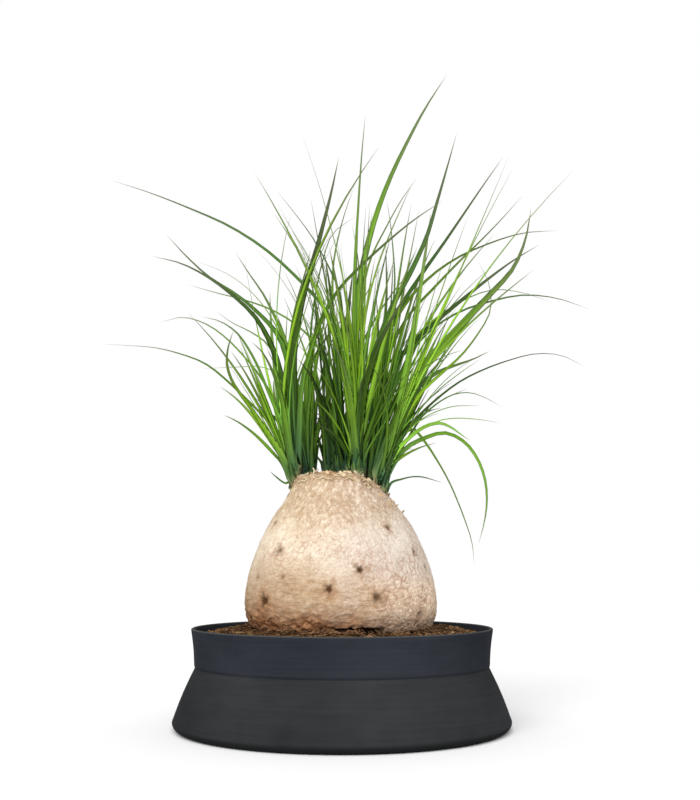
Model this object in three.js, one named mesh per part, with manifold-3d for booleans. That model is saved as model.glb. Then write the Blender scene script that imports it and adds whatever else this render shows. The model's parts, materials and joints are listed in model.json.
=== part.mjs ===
// Potted ponytail palm: a swollen trunk, cut flat on top, with seven heads of strap leaves,
// standing in coarse soil in a low two-tier bowl. Millimetres, +Z up, +Y away from the front.
// The origin is the middle of the bowl's underside.
import * as THREE from 'three';
import { mergeVertices } from 'three/addons/utils/BufferGeometryUtils.js';
import Module from 'manifold-3d';

const wasm = await Module();
wasm.setup();

// Bowl: an upper band over a flared skirt, moulded in one piece
const skirtRadius = 150;
const footRounding = 9;
const waistRadius = 131;
const waistHeight = 54;
const rimRadius = 135;
const rimHeight = 87.5;
const wall = 4;
const potSides = 48;

// Soil, and the gap that pieces keep to each other
const gap = 0.3;
const soilEdgeHeight = 81;
const soilCrestHeight = 88;
const soilCrestRadius = 104;
const soilLump = 0.9;

// Trunk, as radius and height up its outline, and how far its axis leans left over that height
const trunkOutline = [
  [30, 62], [60, 67], [73.5, 79], [82, 90], [87, 104], [84.5, 130], [76, 157], [64.5, 181],
  [51, 200], [45, 210], [41.5, 217.5], [35, 223.5], [20, 226], [8, 226.5],
];
const trunkLean = { foot: -2, top: -4.5 };
const trunkSides = 36;
const trunkRings = 20;
const knotDepth = 1.8;

// Knots in the trunk's side: degrees round from the front towards the right, height and radius
const knots = [
  [42, 175.4, 2.4], [62, 154.7, 2.4], [-41, 155.4, 3.2], [13, 139.5, 3.4], [-5, 123.1, 3.4],
  [22, 116.5, 4], [-47, 113, 4.6], [56, 100.3, 4.6], [-59, 179.8, 2.2], [72, 142.1, 2.4],
  [160, 150, 3.4], [200, 120, 4], [118, 128, 3.2], [235, 165, 3], [262, 108, 3.4],
];

// Leaf heads: where each meets the trunk's top, how its axis leans, and its number of fill leaves
const stumpRadius = 6;
const stumpDepth = 9;
const stumpSides = 10;
const heads = {
  left: { at: [-43, -9, 218], lean: [-0.3, -0.08], leaves: 17, seed: 11, green: 0x4f8f22 },
  back_left: { at: [-29, 19, 222.5], lean: [-0.16, 0.2], leaves: 14, seed: 23, green: 0x2c5420 },
  back: { at: [-11, 29, 223], lean: [-0.06, 0.3], leaves: 19, seed: 39, green: 0x27481c },
  middle: { at: [1, 11, 225.5], lean: [0, 0.06], leaves: 20, seed: 41, green: 0x3c7420 },
  centre: { at: [12.5, -9, 225.5], lean: [0.05, -0.12], leaves: 18, seed: 59, green: 0x6a9f26 },
  right_back: { at: [25.5, 9, 222.5], lean: [0.16, 0.1], leaves: 20, seed: 67, green: 0x315f21 },
  right: { at: [35, -9, 218], lean: [0.3, -0.1], leaves: 16, seed: 83, green: 0x5a9a28 },
};

// Leaf blades: three-sided straps with a keel below
const lineSteps = 48;
const bladeSteps = 6;
const keel = 1.3;
const goldenAngle = degrees(137.5);

// The courses below are given as seen from this eye, in the upright plane through the origin
const eye = [7, -1010, 145.5];

// Long leaves, one a line: width, turn of the face away from the front in degrees, depth that the
// tip reaches, and the course from low to tip as x and z
const longLeaves = {
  left: [
    [8.5, 10, -34, [[-45, 250], [-46, 343], [-42, 370], [-38, 392], [-24, 442], [-9, 504], [-3.7, 531]]],
    [6, 30, -18, [[-49, 270], [-51, 330], [-44.5, 382], [-38, 405], [-30, 440]]],
    [5, 30, -62, [[-40, 270], [-36, 320], [-15.5, 381], [10, 415.6], [59, 461], [97, 488]]],
    [4.5, 40, -62, [[-56, 268], [-72, 309], [-107, 351], [-135, 370], [-152, 373], [-172, 368]]],
    [4.5, 45, -28, [[-55, 255], [-71.6, 277], [-120, 323], [-149, 337], [-176, 344], [-226, 347.5]]],
    [6, 35, -78, [[-56, 243], [-83, 283], [-103, 312], [-108.5, 336], [-102, 361.5]]],
    [7, 30, -50, [[-52, 262], [-58.6, 321], [-80, 370], [-118, 405], [-150, 424], [-181, 432.5]]],
    [6.5, 30, -32, [[-46, 260], [-54, 341.6], [-88, 385], [-125, 411], [-150, 434], [-168, 454]]],
    [3.5, 45, 2, [[-47, 270], [-50, 335], [-76, 386], [-100, 409], [-127.6, 424.5], [-138, 427]]],
    [5.5, 25, -20, [[-45, 265], [-48, 330], [-69, 384.5], [-89.6, 417], [-101.5, 436]]],
    [3.2, 60, -52, [[-51, 280], [-58, 313], [-72, 325], [-100, 325.5], [-131, 324]]],
    [4.5, 35, -88, [[-53, 262], [-69, 301], [-85, 337.4], [-106, 364.6], [-134, 374]]],
    [5, 20, -150, [[-50, 258], [-58, 300], [-72, 335], [-86, 350]]],
    [3.5, 40, -8, [[-50, 280], [-57, 318], [-74, 351.5], [-99, 364.6], [-120, 380]]],
    [2.6, 30, -14, [[-52.5, 217], [-61, 223], [-67, 228.5]]],
  ],
  back_left: [
    [3.2, 30, 34, [[-30, 255], [-31, 310], [-28, 380], [-12, 449.6], [12, 471]]],
    [5, 35, 150, [[-31, 255], [-40, 300], [-52, 345], [-62, 376]]],
  ],
  back: [
    [3.6, 30, 78, [[-10, 262], [-8, 320], [-9.6, 398], [-8, 431], [0.6, 470], [12, 504]]],
    [5, 30, 180, [[-12, 262], [-16, 320], [-26, 390], [-36, 430]]],
    [4.6, 35, 205, [[-10, 262], [-6, 320], [2, 370], [8, 388]]],
  ],
  middle: [
    [3.6, 30, 34, [[-1, 270], [-2, 340], [-2.6, 394.7], [-29, 451], [-50, 480], [-64, 498]]],
    [4.2, 40, 6, [[-5, 262], [-14, 325], [-37, 360], [-74, 383.5], [-117, 396], [-147, 405]]],
  ],
  centre: [
    [8, 15, 30, [[13.5, 270], [12, 356], [16, 405], [27, 457], [45, 509], [76, 573], [101, 614]]],
    [7, 20, -32, [[17, 270], [24, 320], [47, 384.6], [75, 438.5], [94, 499], [110, 555]]],
    [4.6, 25, 8, [[10, 270], [10.5, 400], [14.4, 475], [18, 530], [22, 575]]],
    [5.6, 20, 4, [[11, 262], [9, 322], [-10, 370], [-38, 406], [-100, 457.5], [-205, 503], [-224, 508]]],
    [4, 35, -20, [[12, 262], [13, 350], [22, 415], [34, 446], [55, 486], [72, 511]]],
    [3.6, 35, -44, [[14, 262], [18, 350], [28, 405.6], [44, 452], [67, 505]]],
    [9, 10, -34, [[9, 262], [4, 320], [4, 365], [10, 420]]],
    [8, 15, -120, [[15, 258], [22, 310], [35, 350], [60, 396]]],
    [6.5, 20, -160, [[11, 258], [7, 300], [-2, 335], [-14, 352]]],
  ],
  right_back: [
    [7, 25, 22, [[27, 262], [33, 342], [62, 395.7], [96.5, 446], [140.6, 511.3], [154.5, 531]]],
    [4, 30, 72, [[29, 262], [50, 355], [96.4, 412.4], [142.5, 459], [172.6, 493]]],
    [4.6, 40, 46, [[28, 262], [42, 355], [82.4, 412.4], [127.5, 440], [173.6, 455.6], [205, 457.5]]],
    [6.5, 30, 28, [[32, 262], [49, 328], [86, 367.4], [119, 395.4], [157, 425], [187, 443.8]]],
    [4.5, 45, 4, [[35, 262], [58, 330], [92, 368.3], [137, 388], [186, 394.8], [233, 380.6]]],
    [2.8, 45, 92, [[31, 262], [60, 345], [120, 393], [159, 399], [197, 387.4]]],
    [4, 35, 36, [[28, 262], [40, 345], [49, 400], [46, 458.5], [42, 489]]],
    [6, 30, 20, [[26, 262], [34, 340], [41, 385.6], [41, 446]]],
    [5, 30, 175, [[28, 262], [38, 305], [54, 342], [68, 360]]],
  ],
  right: [
    [9.5, 15, -34, [[44, 262], [70.5, 319], [107.4, 361.3], [143.6, 400.4], [168.6, 432.7], [180, 481]]],
    [4.5, 40, -58, [[45, 256], [64, 306], [110, 358], [147, 391.7], [182, 420]]],
    [4, 40, -84, [[46, 250], [70, 298], [112.6, 338.8], [138.4, 378], [138.4, 405], [128, 428]]],
    [6.5, 35, -16, [[44, 252], [57.7, 291], [86.4, 319.4], [118.7, 331.7], [138, 341]]],
    [4.5, 40, 8, [[44, 246], [69.5, 278.6], [111.4, 313.3], [161.6, 334], [197.4, 338.5], [227, 325.5]]],
    [3.6, 45, -48, [[47, 256], [81.6, 296.5], [105.5, 317], [130, 334]]],
    [3.6, 50, -34, [[46, 248], [66, 272], [96.5, 297], [122, 301], [148, 288]]],
    [3, 50, -70, [[48, 250], [71, 275], [100, 288], [129, 289]]],
    [2.6, 50, 4, [[45, 240], [66, 262], [92, 276], [120, 277], [146, 273]]],
    [4.6, 35, -48, [[43, 232], [59, 249.8], [90, 264], [112, 256.5], [129, 230], [132.4, 195], [124, 161]]],
    [3, 45, -64, [[46, 242], [57, 262], [65, 268], [79.6, 250.9], [99.4, 216.3], [117, 168.5], [120, 143]]],
    [2.4, 50, -12, [[42.5, 217], [52, 220.5], [70, 223.5], [93, 217.4]]],
    [4, 40, -20, [[42, 230], [53.7, 240.8], [70.6, 249.8], [87, 254.5]]],
    [5.2, 30, -80, [[44, 236], [54, 252], [73, 268], [93, 272.5], [118, 256.5]]],
  ],
};

// Fill leaves, from a head's oldest, outermost one to its youngest: opening angle at the base,
// further bend towards the tip, length and width
const fill = {
  opening: [26, 5],
  bend: [62, 16],
  length: [112, 176],
  width: [5.4, 7.2],
  stretch: 0.5,
  tries: 14,
  clear: 1.8,
  bundled: 12,
};

function degrees(angle) {
  return THREE.MathUtils.degToRad(angle);
}

function mix(pair, share) {
  return pair[0] + (pair[1] - pair[0]) * share;
}

// A repeatable draw between 0 and 1
function drawFrom(seed) {
  let state = seed;
  return () => {
    state = (Math.imul(state, 1664525) + 1013904223) >>> 0;
    return state / 4294967296;
  };
}

function solidOf(geometry) {
  const bare = geometry.clone();
  bare.deleteAttribute('normal');
  bare.deleteAttribute('uv');
  const merged = mergeVertices(bare, 1e-4);
  const mesh = new wasm.Mesh({
    numProp: 3,
    vertProperties: new Float32Array(merged.attributes.position.array),
    triVerts: new Uint32Array(merged.index.array),
  });
  return new wasm.Manifold(mesh);
}

// The one outer body of a join: hollows that crossing blades seal are filled, loose scraps dropped
function outerBody(solid) {
  return solid.decompose().reduce((best, one) => (one.volume() > best.volume() ? one : best));
}

function geometryOf(solid) {
  const mesh = solid.getMesh();
  const geometry = new THREE.BufferGeometry();
  geometry.setAttribute('position', new THREE.BufferAttribute(new Float32Array(mesh.vertProperties), 3));
  geometry.setIndex(new THREE.BufferAttribute(new Uint32Array(mesh.triVerts), 1));
  return geometry;
}

// A closed surface of rings with the same number of points, its first and last ring closed by a fan
function ringed(rings) {
  const sides = rings[0].length;
  const positions = rings.flat().flatMap((p) => [p.x, p.y, p.z]);
  const index = [];
  for (let r = 0; r < rings.length - 1; r += 1) {
    for (let s = 0; s < sides; s += 1) {
      const a = r * sides + s;
      const b = r * sides + ((s + 1) % sides);
      index.push(a, b, b + sides, a, b + sides, a + sides);
    }
  }
  for (const [ring, outward] of [[rings[0], false], [rings[rings.length - 1], true]]) {
    const middle = ring.reduce((sum, p) => sum.add(p), new THREE.Vector3()).divideScalar(sides);
    const hub = positions.length / 3;
    const start = outward ? (rings.length - 1) * sides : 0;
    positions.push(middle.x, middle.y, middle.z);
    for (let s = 0; s < sides; s += 1) {
      const a = start + s;
      const b = start + ((s + 1) % sides);
      index.push(hub, outward ? a : b, outward ? b : a);
    }
  }
  const geometry = new THREE.BufferGeometry();
  geometry.setAttribute('position', new THREE.Float32BufferAttribute(positions, 3));
  geometry.setIndex(index);
  return geometry;
}

// The bowl's shell is turned from one closed outline: out along the underside, up the skirt and the
// band to the rim, and back down the inner face one wall further in
function potOutline() {
  const outer = [];
  outer.push([skirtRadius - footRounding, 0]);
  for (const angle of [-60, -30, 0]) {
    const turn = degrees(angle);
    outer.push([
      skirtRadius - footRounding * (1 - Math.cos(turn)),
      footRounding * (1 + Math.sin(turn)),
    ]);
  }
  outer.push([143.2, 28], [136.2, 43]);
  outer.push([waistRadius, waistHeight], [131.8, waistHeight + 6], [133.2, waistHeight + 21]);
  outer.push([rimRadius, rimHeight - 1], [rimRadius - 1, rimHeight]);
  return outer;
}

function potInnerOutline(inset) {
  return [
    [rimRadius - wall + 0.6 - inset, rimHeight],
    [rimRadius - wall - inset, rimHeight - 1.5],
    [waistRadius - wall - inset, waistHeight - 1],
    [skirtRadius - wall - 1.5 - inset, footRounding + 3],
    [skirtRadius - wall - 5 - inset, wall + 1.5 + inset],
  ];
}

function pot() {
  const outline = [[0, 0], ...potOutline(), ...potInnerOutline(0), [0, wall + 1.5]];
  const profile = outline.map(([r, z]) => new THREE.Vector2(r, z));
  const geometry = new THREE.LatheGeometry(profile, potSides);
  geometry.rotateX(Math.PI / 2);
  return geometryOf(solidOf(geometry));
}

// The trunk: a smooth outline with low lobes and upright folds near the cut top
const trunkCurve = new THREE.SplineCurve(trunkOutline.map(([r, z]) => new THREE.Vector2(r, z)));

function trunkRelief(turn, z) {
  const lobes = 1.3 * Math.sin(3 * turn + 0.7) + 0.8 * Math.sin(5 * turn + 2);
  const high = THREE.MathUtils.smoothstep(z, 165, 215);
  return lobes * (1 - 0.6 * high) + 0.7 * Math.sin(11 * turn + 0.06 * z) * high;
}

function trunkRadius(z) {
  const above = trunkOutline.findIndex(([, height]) => height > z);
  const [low, high] = [trunkOutline[above - 1], trunkOutline[above]];
  return mix([low[0], high[0]], (z - low[1]) / (high[1] - low[1]));
}

function trunkLeanAt(z) {
  return mix([trunkLean.foot, trunkLean.top], (z - 62) / 165);
}

function trunkLevels(grow) {
  const rings = [];
  for (let r = 0; r <= trunkRings; r += 1) {
    const p = trunkCurve.getPoint(r / trunkRings);
    const along = trunkCurve.getTangent(r / trunkRings);
    const lean = trunkLeanAt(p.y);
    const ring = [];
    for (let s = 0; s < trunkSides; s += 1) {
      const turn = (s / trunkSides) * 2 * Math.PI;
      const relief = trunkRelief(turn, p.y) * THREE.MathUtils.smoothstep(p.x, 12, 44);
      const radius = p.x + relief + grow * along.y;
      const height = p.y - grow * along.x;
      ring.push(new THREE.Vector3(lean + radius * Math.cos(turn), radius * Math.sin(turn), height));
    }
    rings.push(ring);
  }
  return rings;
}

// A knot is a shallow pit sunk level into the trunk's side
function knotPit([angle, height, size]) {
  const turn = degrees(angle - 90);
  const profile = [[0, -knotDepth], [size * 0.6, -knotDepth], [size, 0.4], [size, 6], [0, 6]];
  const geometry = new THREE.LatheGeometry(profile.map(([r, z]) => new THREE.Vector2(r, z)), 6);
  geometry.rotateZ(-Math.PI / 2);
  geometry.translate(trunkRadius(height) + trunkRelief(turn, height), 0, 0);
  geometry.rotateZ(turn);
  geometry.translate(trunkLeanAt(height), 0, height);
  return solidOf(geometry);
}

// The soil fills the bowl inside its wall, crested round the trunk and lumpy on top
function soilRings() {
  const rings = [];
  const sunk = (radius, z, lump) => {
    const ring = [];
    for (let s = 0; s < potSides; s += 1) {
      const turn = (s / potSides) * 2 * Math.PI;
      const bump = lump * (Math.sin(7 * turn + radius) + Math.sin(11 * turn - 0.6 * radius));
      ring.push(new THREE.Vector3(radius * Math.cos(turn), radius * Math.sin(turn), z + bump));
    }
    rings.push(ring);
  };
  const [rim, waist, shoulder, floor] = potInnerOutline(gap + 0.1).slice(1);
  const edgeRadius = mix([waist[0], rim[0]], (soilEdgeHeight - waist[1]) / (rim[1] - waist[1]));
  sunk(20, floor[1], 0);
  for (const [radius, z] of [floor, shoulder, waist, [edgeRadius, soilEdgeHeight]]) {
    sunk(radius, z, 0);
  }
  sunk(121, soilEdgeHeight + 2, soilLump * 0.5);
  sunk(112.5, soilCrestHeight - 1.4, soilLump);
  sunk(soilCrestRadius, soilCrestHeight, soilLump);
  sunk(96, soilCrestHeight + 0.4, soilLump);
  sunk(88, soilCrestHeight + 0.2, soilLump * 0.7);
  sunk(30, soilCrestHeight, 0);
  return rings;
}

// Each head's own frame: its axis leans from upright, and its stump stands in a hole along it
function headFrame(head) {
  const axis = new THREE.Vector3(head.lean[0], head.lean[1], 1).normalize();
  return { at: new THREE.Vector3(...head.at), axis };
}

function spindle(head, outline) {
  const { at, axis } = headFrame(head);
  const profile = outline.map(([r, z]) => new THREE.Vector2(r, z));
  const geometry = new THREE.LatheGeometry(profile, stumpSides);
  geometry.rotateX(Math.PI / 2);
  geometry.applyQuaternion(new THREE.Quaternion().setFromUnitVectors(new THREE.Vector3(0, 0, 1), axis));
  geometry.translate(at.x, at.y, at.z);
  return solidOf(geometry);
}

function stump(head) {
  return spindle(head, [
    [0, -stumpDepth], [stumpRadius - 0.6, -stumpDepth], [stumpRadius, 0], [6.8, 9], [5.4, 24],
    [3, 44], [0, 60],
  ]);
}

function stumpHole(head) {
  return spindle(head, [
    [0, -stumpDepth - gap], [stumpRadius - 0.3, -stumpDepth - gap], [stumpRadius + gap + 0.1, 0],
    [stumpRadius + 1.4, 14], [0, 14],
  ]);
}

// A leaf's line: a smooth course through its control points, as evenly spaced points
function evenly(points) {
  const chord = [0];
  for (let i = 1; i < points.length; i += 1) {
    chord.push(chord[i - 1] + points[i].distanceTo(points[i - 1]));
  }
  const line = [];
  let i = 1;
  for (let k = 0; k <= lineSteps; k += 1) {
    const wanted = (chord[chord.length - 1] * k) / lineSteps;
    while (i < points.length - 1 && chord[i] < wanted) {
      i += 1;
    }
    const share = (wanted - chord[i - 1]) / (chord[i] - chord[i - 1]);
    line.push(points[i - 1].clone().lerp(points[i], Math.min(share, 1)));
  }
  return line;
}

function smoothCourse(points) {
  const course = [];
  const last = points.length - 1;
  for (let i = 0; i < last; i += 1) {
    const p0 = i > 0 ? points[i - 1] : points[0].clone().multiplyScalar(2).sub(points[1]);
    const beyond = points[last].clone().multiplyScalar(2).sub(points[last - 1]);
    const p3 = i + 2 <= last ? points[i + 2] : beyond;
    for (let k = 0; k < 12; k += 1) {
      const u = k / 12;
      const weights = [
        -0.5 * u ** 3 + u ** 2 - 0.5 * u,
        1.5 * u ** 3 - 2.5 * u ** 2 + 1,
        -1.5 * u ** 3 + 2 * u ** 2 + 0.5 * u,
        0.5 * u ** 3 - 0.5 * u ** 2,
      ];
      const p = new THREE.Vector3();
      [p0, points[i], points[i + 1], p3].forEach((q, w) => p.addScaledVector(q, weights[w]));
      course.push(p);
    }
  }
  course.push(points[last]);
  return course;
}

// Half of a blade's width at a share of its length: broad where it clasps the head, full to past
// its middle, then drawn out to a fine tip
function halfWidth(width, share) {
  const clasp = 0.3 * Math.exp(-share * 16);
  return 0.5 * width * (1 + clasp) * Math.max(1 - share ** 1.9, 0) ** 0.85;
}

function measured(leaf) {
  leaf.reach = leaf.line.map((p, k) => halfWidth(leaf.width, k / lineSteps));
  return leaf;
}

// A point seen at x and z in the front plane, moved along its sight line to depth y
function seenAt(x, z, y) {
  const reach = (y - eye[1]) / -eye[1];
  return new THREE.Vector3(eye[0] + (x - eye[0]) * reach, y, eye[2] + (z - eye[2]) * reach);
}

function longLeaf(head, [width, turned, depth, course]) {
  const { at, axis } = headFrame(head);
  const start = at.clone().addScaledVector(axis, course[0][1] < head.at[2] + 4 ? 1 : 5);
  let run = Math.hypot(course[0][0] - start.x, course[0][1] - start.z);
  const runs = course.map(([x, z], i) => {
    run += i > 0 ? Math.hypot(x - course[i - 1][0], z - course[i - 1][1]) : 0;
    return run;
  });
  const points = course.map(([x, z], i) => (
    seenAt(x, z, mix([at.y, depth], (runs[i] / run) ** 1.2))
  ));
  const line = evenly(smoothCourse([start, ...points]));
  return measured({ line, width, facing: new THREE.Vector3(0, -1, 0), turned });
}

// A fill leaf rises from its place on the head, opens outward and bends over under its weight
function fillLeaf(head, rank, azimuth, draw, ease) {
  const { at, axis } = headFrame(head);
  const outward = Math.abs(Math.sin(azimuth));
  const opening = degrees(mix(fill.opening, rank) * mix([0.8, 1.25], draw()) * ease);
  const bend = degrees(mix(fill.bend, rank) * mix([0.55, 1.3], draw()) * ease);
  const stretch = 1 + fill.stretch * (outward - 0.5);
  const length = mix(fill.length, rank) * mix([0.75, 1.22], draw()) * stretch;
  const width = mix(fill.width, rank) * mix([0.7, 1.2], draw());
  const curl = degrees(mix([-38, 38], draw()));
  const turned = mix([-70, 70], draw());
  const out = new THREE.Vector3(Math.cos(azimuth), Math.sin(azimuth), 0);
  const p = at.clone().addScaledVector(axis, 4 + 16 * rank);
  p.addScaledVector(out, mix([3.6, 1], rank));
  const line = [p.clone()];
  const step = length / lineSteps;
  for (let k = 0; k < lineSteps; k += 1) {
    const share = (k + 0.5) / lineSteps;
    const tilt = opening + bend * share ** 1.5;
    const heading = azimuth + curl * share;
    p.x += step * (Math.sin(tilt) * Math.cos(heading) + 0.8 * head.lean[0] * (1 - share));
    p.y += step * (Math.sin(tilt) * Math.sin(heading) + 0.8 * head.lean[1] * (1 - share));
    p.z += step * Math.cos(tilt);
    line.push(p.clone());
  }
  return measured({ line, width, facing: out.negate(), turned });
}

// Leaves of other heads are kept clear along their whole length, and leaves of the same head
// beyond the bundle at its foot
function crosses(leaf, others, sameHead) {
  const first = sameHead ? fill.bundled : 0;
  for (const other of others) {
    for (let i = first; i <= lineSteps; i += 1) {
      for (let j = first; j <= lineSteps; j += 1) {
        const both = leaf.reach[i] + other.reach[j];
        const keep = sameHead ? 0.75 * both + 0.6 : Math.max(both + fill.clear, 3.2);
        if (leaf.line[i].distanceToSquared(other.line[j]) < keep * keep) {
          return true;
        }
      }
    }
  }
  return false;
}

// A stump counts as a short leaf as wide as itself, so that other heads' leaves pass it by
function stumpLine(head) {
  const { at, axis } = headFrame(head);
  const line = [];
  for (let k = 0; k <= lineSteps; k += 1) {
    line.push(at.clone().addScaledVector(axis, (45 * k) / lineSteps));
  }
  return measured({ line, width: 2.3 * stumpRadius });
}

function growLeaves() {
  const grown = {};
  const names = Object.keys(heads);
  for (const name of names) {
    grown[name] = longLeaves[name].map((entry) => longLeaf(heads[name], entry));
  }
  const draws = Object.fromEntries(names.map((name) => [name, drawFrom(heads[name].seed)]));
  const most = Math.max(...names.map((name) => heads[name].leaves));
  for (let k = 0; k < most; k += 1) {
    for (const name of names) {
      const head = heads[name];
      if (k >= head.leaves) {
        continue;
      }
      const rest = names.filter((n) => n !== name);
      const others = rest.flatMap((n) => [...grown[n], stumpLine(heads[n])]);
      const rank = k / (head.leaves - 1);
      for (let t = 0; t < fill.tries; t += 1) {
        const azimuth = head.seed + k * goldenAngle + t * 0.9;
        const leaf = fillLeaf(head, rank, azimuth, draws[name], 1 - t / (1.6 * fill.tries));
        if (!crosses(leaf, others, false) && !crosses(leaf, grown[name], true)) {
          grown[name].push(leaf);
          break;
        }
      }
    }
  }
  return grown;
}

// A blade is a three-sided strap along its line: two edges, and a keel below its middle
function blade(leaf) {
  const rings = [];
  const keelAt = (share) => keel * (1 - 0.45 * share);
  for (let k = 0; k < bladeSteps; k += 1) {
    const share = k / bladeSteps;
    const i = Math.round(share * lineSteps);
    const before = leaf.line[Math.max(i - 1, 0)];
    const after = leaf.line[Math.min(i + 1, lineSteps)];
    const along = after.clone().sub(before).normalize();
    const face = leaf.facing.clone().addScaledVector(along, -leaf.facing.dot(along)).normalize();
    face.applyAxisAngle(along, degrees(leaf.turned) * Math.min(share * 2, 1));
    const across = along.clone().cross(face);
    rings.push([
      leaf.line[i].clone().addScaledVector(across, -leaf.reach[i]),
      leaf.line[i].clone().addScaledVector(across, leaf.reach[i]),
      leaf.line[i].clone().addScaledVector(face, -keelAt(share)),
    ]);
  }
  return tapered(rings, leaf.line[lineSteps]);
}

function tapered(rings, tip) {
  const positions = [...rings.flat(), tip].flatMap((p) => [p.x, p.y, p.z]);
  const index = [0, 2, 1];
  for (let r = 0; r < rings.length - 1; r += 1) {
    for (let s = 0; s < 3; s += 1) {
      const a = r * 3 + s;
      const b = r * 3 + ((s + 1) % 3);
      index.push(a, b, b + 3, a, b + 3, a + 3);
    }
  }
  const last = (rings.length - 1) * 3;
  for (let s = 0; s < 3; s += 1) {
    index.push(last + s, last + ((s + 1) % 3), last + 3);
  }
  const geometry = new THREE.BufferGeometry();
  geometry.setAttribute('position', new THREE.Float32BufferAttribute(positions, 3));
  geometry.setIndex(index);
  return geometry;
}

const palm = new THREE.Group();

function place(name, solid, color, roughness) {
  const geometry = solid instanceof THREE.BufferGeometry ? solid : geometryOf(solid);
  const material = new THREE.MeshStandardMaterial({ color, roughness, metalness: 0 });
  const mesh = new THREE.Mesh(geometry, material);
  mesh.name = name;
  palm.add(mesh);
}

const trunkBody = solidOf(ringed(trunkLevels(0)));
const trunkRoom = solidOf(ringed(trunkLevels(gap + 0.05)));
const grown = growLeaves();

place('pot', pot(), 0x33373c, 0.55);
place('soil', solidOf(ringed(soilRings())).subtract(trunkRoom), 0x4a3018, 0.95);

const cuts = [...Object.values(heads).map(stumpHole), ...knots.map(knotPit)];
place('caudex', cuts.reduce((body, cut) => body.subtract(cut), trunkBody), 0xd9bf9f, 0.85);

for (const [name, head] of Object.entries(heads)) {
  const blades = grown[name].map((leaf) => solidOf(blade(leaf)));
  const foliage = blades.reduce((all, one) => all.add(one)).subtract(trunkRoom);
  place(`head_${name}`, outerBody(foliage.add(stump(head))), head.green, 0.5);
}

export default palm;
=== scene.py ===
import json
import math

import bpy
import numpy as np
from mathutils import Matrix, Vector


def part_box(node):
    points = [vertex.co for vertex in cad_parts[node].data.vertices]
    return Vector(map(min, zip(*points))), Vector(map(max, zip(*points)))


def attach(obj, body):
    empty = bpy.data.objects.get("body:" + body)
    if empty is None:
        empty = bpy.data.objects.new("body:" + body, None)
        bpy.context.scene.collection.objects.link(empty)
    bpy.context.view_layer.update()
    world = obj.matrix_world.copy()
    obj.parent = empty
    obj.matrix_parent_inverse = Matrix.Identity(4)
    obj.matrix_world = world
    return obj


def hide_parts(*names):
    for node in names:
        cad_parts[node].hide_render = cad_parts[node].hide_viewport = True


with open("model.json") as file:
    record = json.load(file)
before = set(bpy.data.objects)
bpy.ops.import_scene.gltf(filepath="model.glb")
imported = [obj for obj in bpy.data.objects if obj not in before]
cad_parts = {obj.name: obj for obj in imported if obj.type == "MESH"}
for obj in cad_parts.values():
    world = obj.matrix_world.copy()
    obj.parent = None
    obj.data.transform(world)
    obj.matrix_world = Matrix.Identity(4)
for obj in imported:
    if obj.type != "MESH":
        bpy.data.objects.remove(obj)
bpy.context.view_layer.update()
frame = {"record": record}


# The camera stands a metre in front of the bowl, level with the trunk's shoulder and tilted up by
# some eight degrees, with a lens a little longer than normal. Nothing is shifted or blurred.
eye = np.array((0.007, -1.010, 0.1455))
degrees_up = 8.394
view = bpy.data.cameras.new("front_view")
view.sensor_width = 36.0
view.lens = 49.4
view.clip_end = 30.0
camera = bpy.data.objects.new("front_view", view)
camera.location = eye
camera.rotation_euler = (math.radians(90 + degrees_up), 0, 0)
bpy.context.scene.collection.objects.link(camera)
bpy.context.scene.camera = camera
bpy.context.scene.view_settings.view_transform = "Standard"


# The studio is a white sweep under one broad soft lamp, above the camera and a little to its left.
# The sweep shows plain white and lights the palm evenly, but more weakly than the lamp does.
sweep_light = 0.58
lamp_travel = (0.18, 0.88, -0.66)
floor_half = 4.0

surround = bpy.data.worlds.new("white_surround")
surround.use_nodes = True
sweep = surround.node_tree
seen = sweep.nodes.new("ShaderNodeLightPath").outputs["Is Camera Ray"]
sweep_strength = sweep.nodes.new("ShaderNodeMapRange")
sweep.links.new(seen, sweep_strength.inputs["Value"])
sweep_strength.inputs["To Min"].default_value = sweep_light
sweep.links.new(sweep_strength.outputs["Result"], sweep.nodes["Background"].inputs["Strength"])
sweep.nodes["Background"].inputs["Color"].default_value = (1.0, 1.0, 1.0, 1.0)
bpy.context.scene.world = surround

lamp = bpy.data.lights.new("broad_lamp", "SUN")
lamp.energy = 3.25
lamp.angle = math.radians(60)
lamp_holder = bpy.data.objects.new("broad_lamp", lamp)
lamp_holder.rotation_euler = Vector(lamp_travel).to_track_quat("-Z", "Y").to_euler()
bpy.context.scene.collection.objects.link(lamp_holder)

floor_mesh = bpy.data.meshes.new("floor")
floor_corners = [(floor_half * x, floor_half * y, 0) for x, y in ((-1, -1), (1, -1), (1, 1), (-1, 1))]
floor_mesh.from_pydata(floor_corners, [], [(0, 1, 2, 3)])
floor = bpy.data.objects.new("floor", floor_mesh)
bpy.context.scene.collection.objects.link(floor)
floor_paint = bpy.data.materials.new("pale_floor")
floor_paint.use_nodes = True
floor_values = {"Base Color": (0.90, 0.90, 0.90, 1.0), "Roughness": 0.9, "Specular IOR Level": 0.1}
for label, value in floor_values.items():
    floor_paint.node_tree.nodes["Principled BSDF"].inputs[label].default_value = value
floor_mesh.materials.append(floor_paint)


# The bowl is one moulded shell of matt charcoal plastic: a flared skirt on a rounded foot, a
# sharp waist, and an upright band whose lip is eased. Its outside carries faint level brushing.
def set_into_mesh(name, points, faces):
    """A mesh object from an array of points and a list of faces, smooth-shaded, at the origin."""
    mesh = bpy.data.meshes.new(name)
    mesh.from_pydata(points.reshape(-1, 3).tolist(), [], faces)
    mesh.shade_smooth()
    piece = bpy.data.objects.new(name, mesh)
    bpy.context.scene.collection.objects.link(piece)
    return piece


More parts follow.
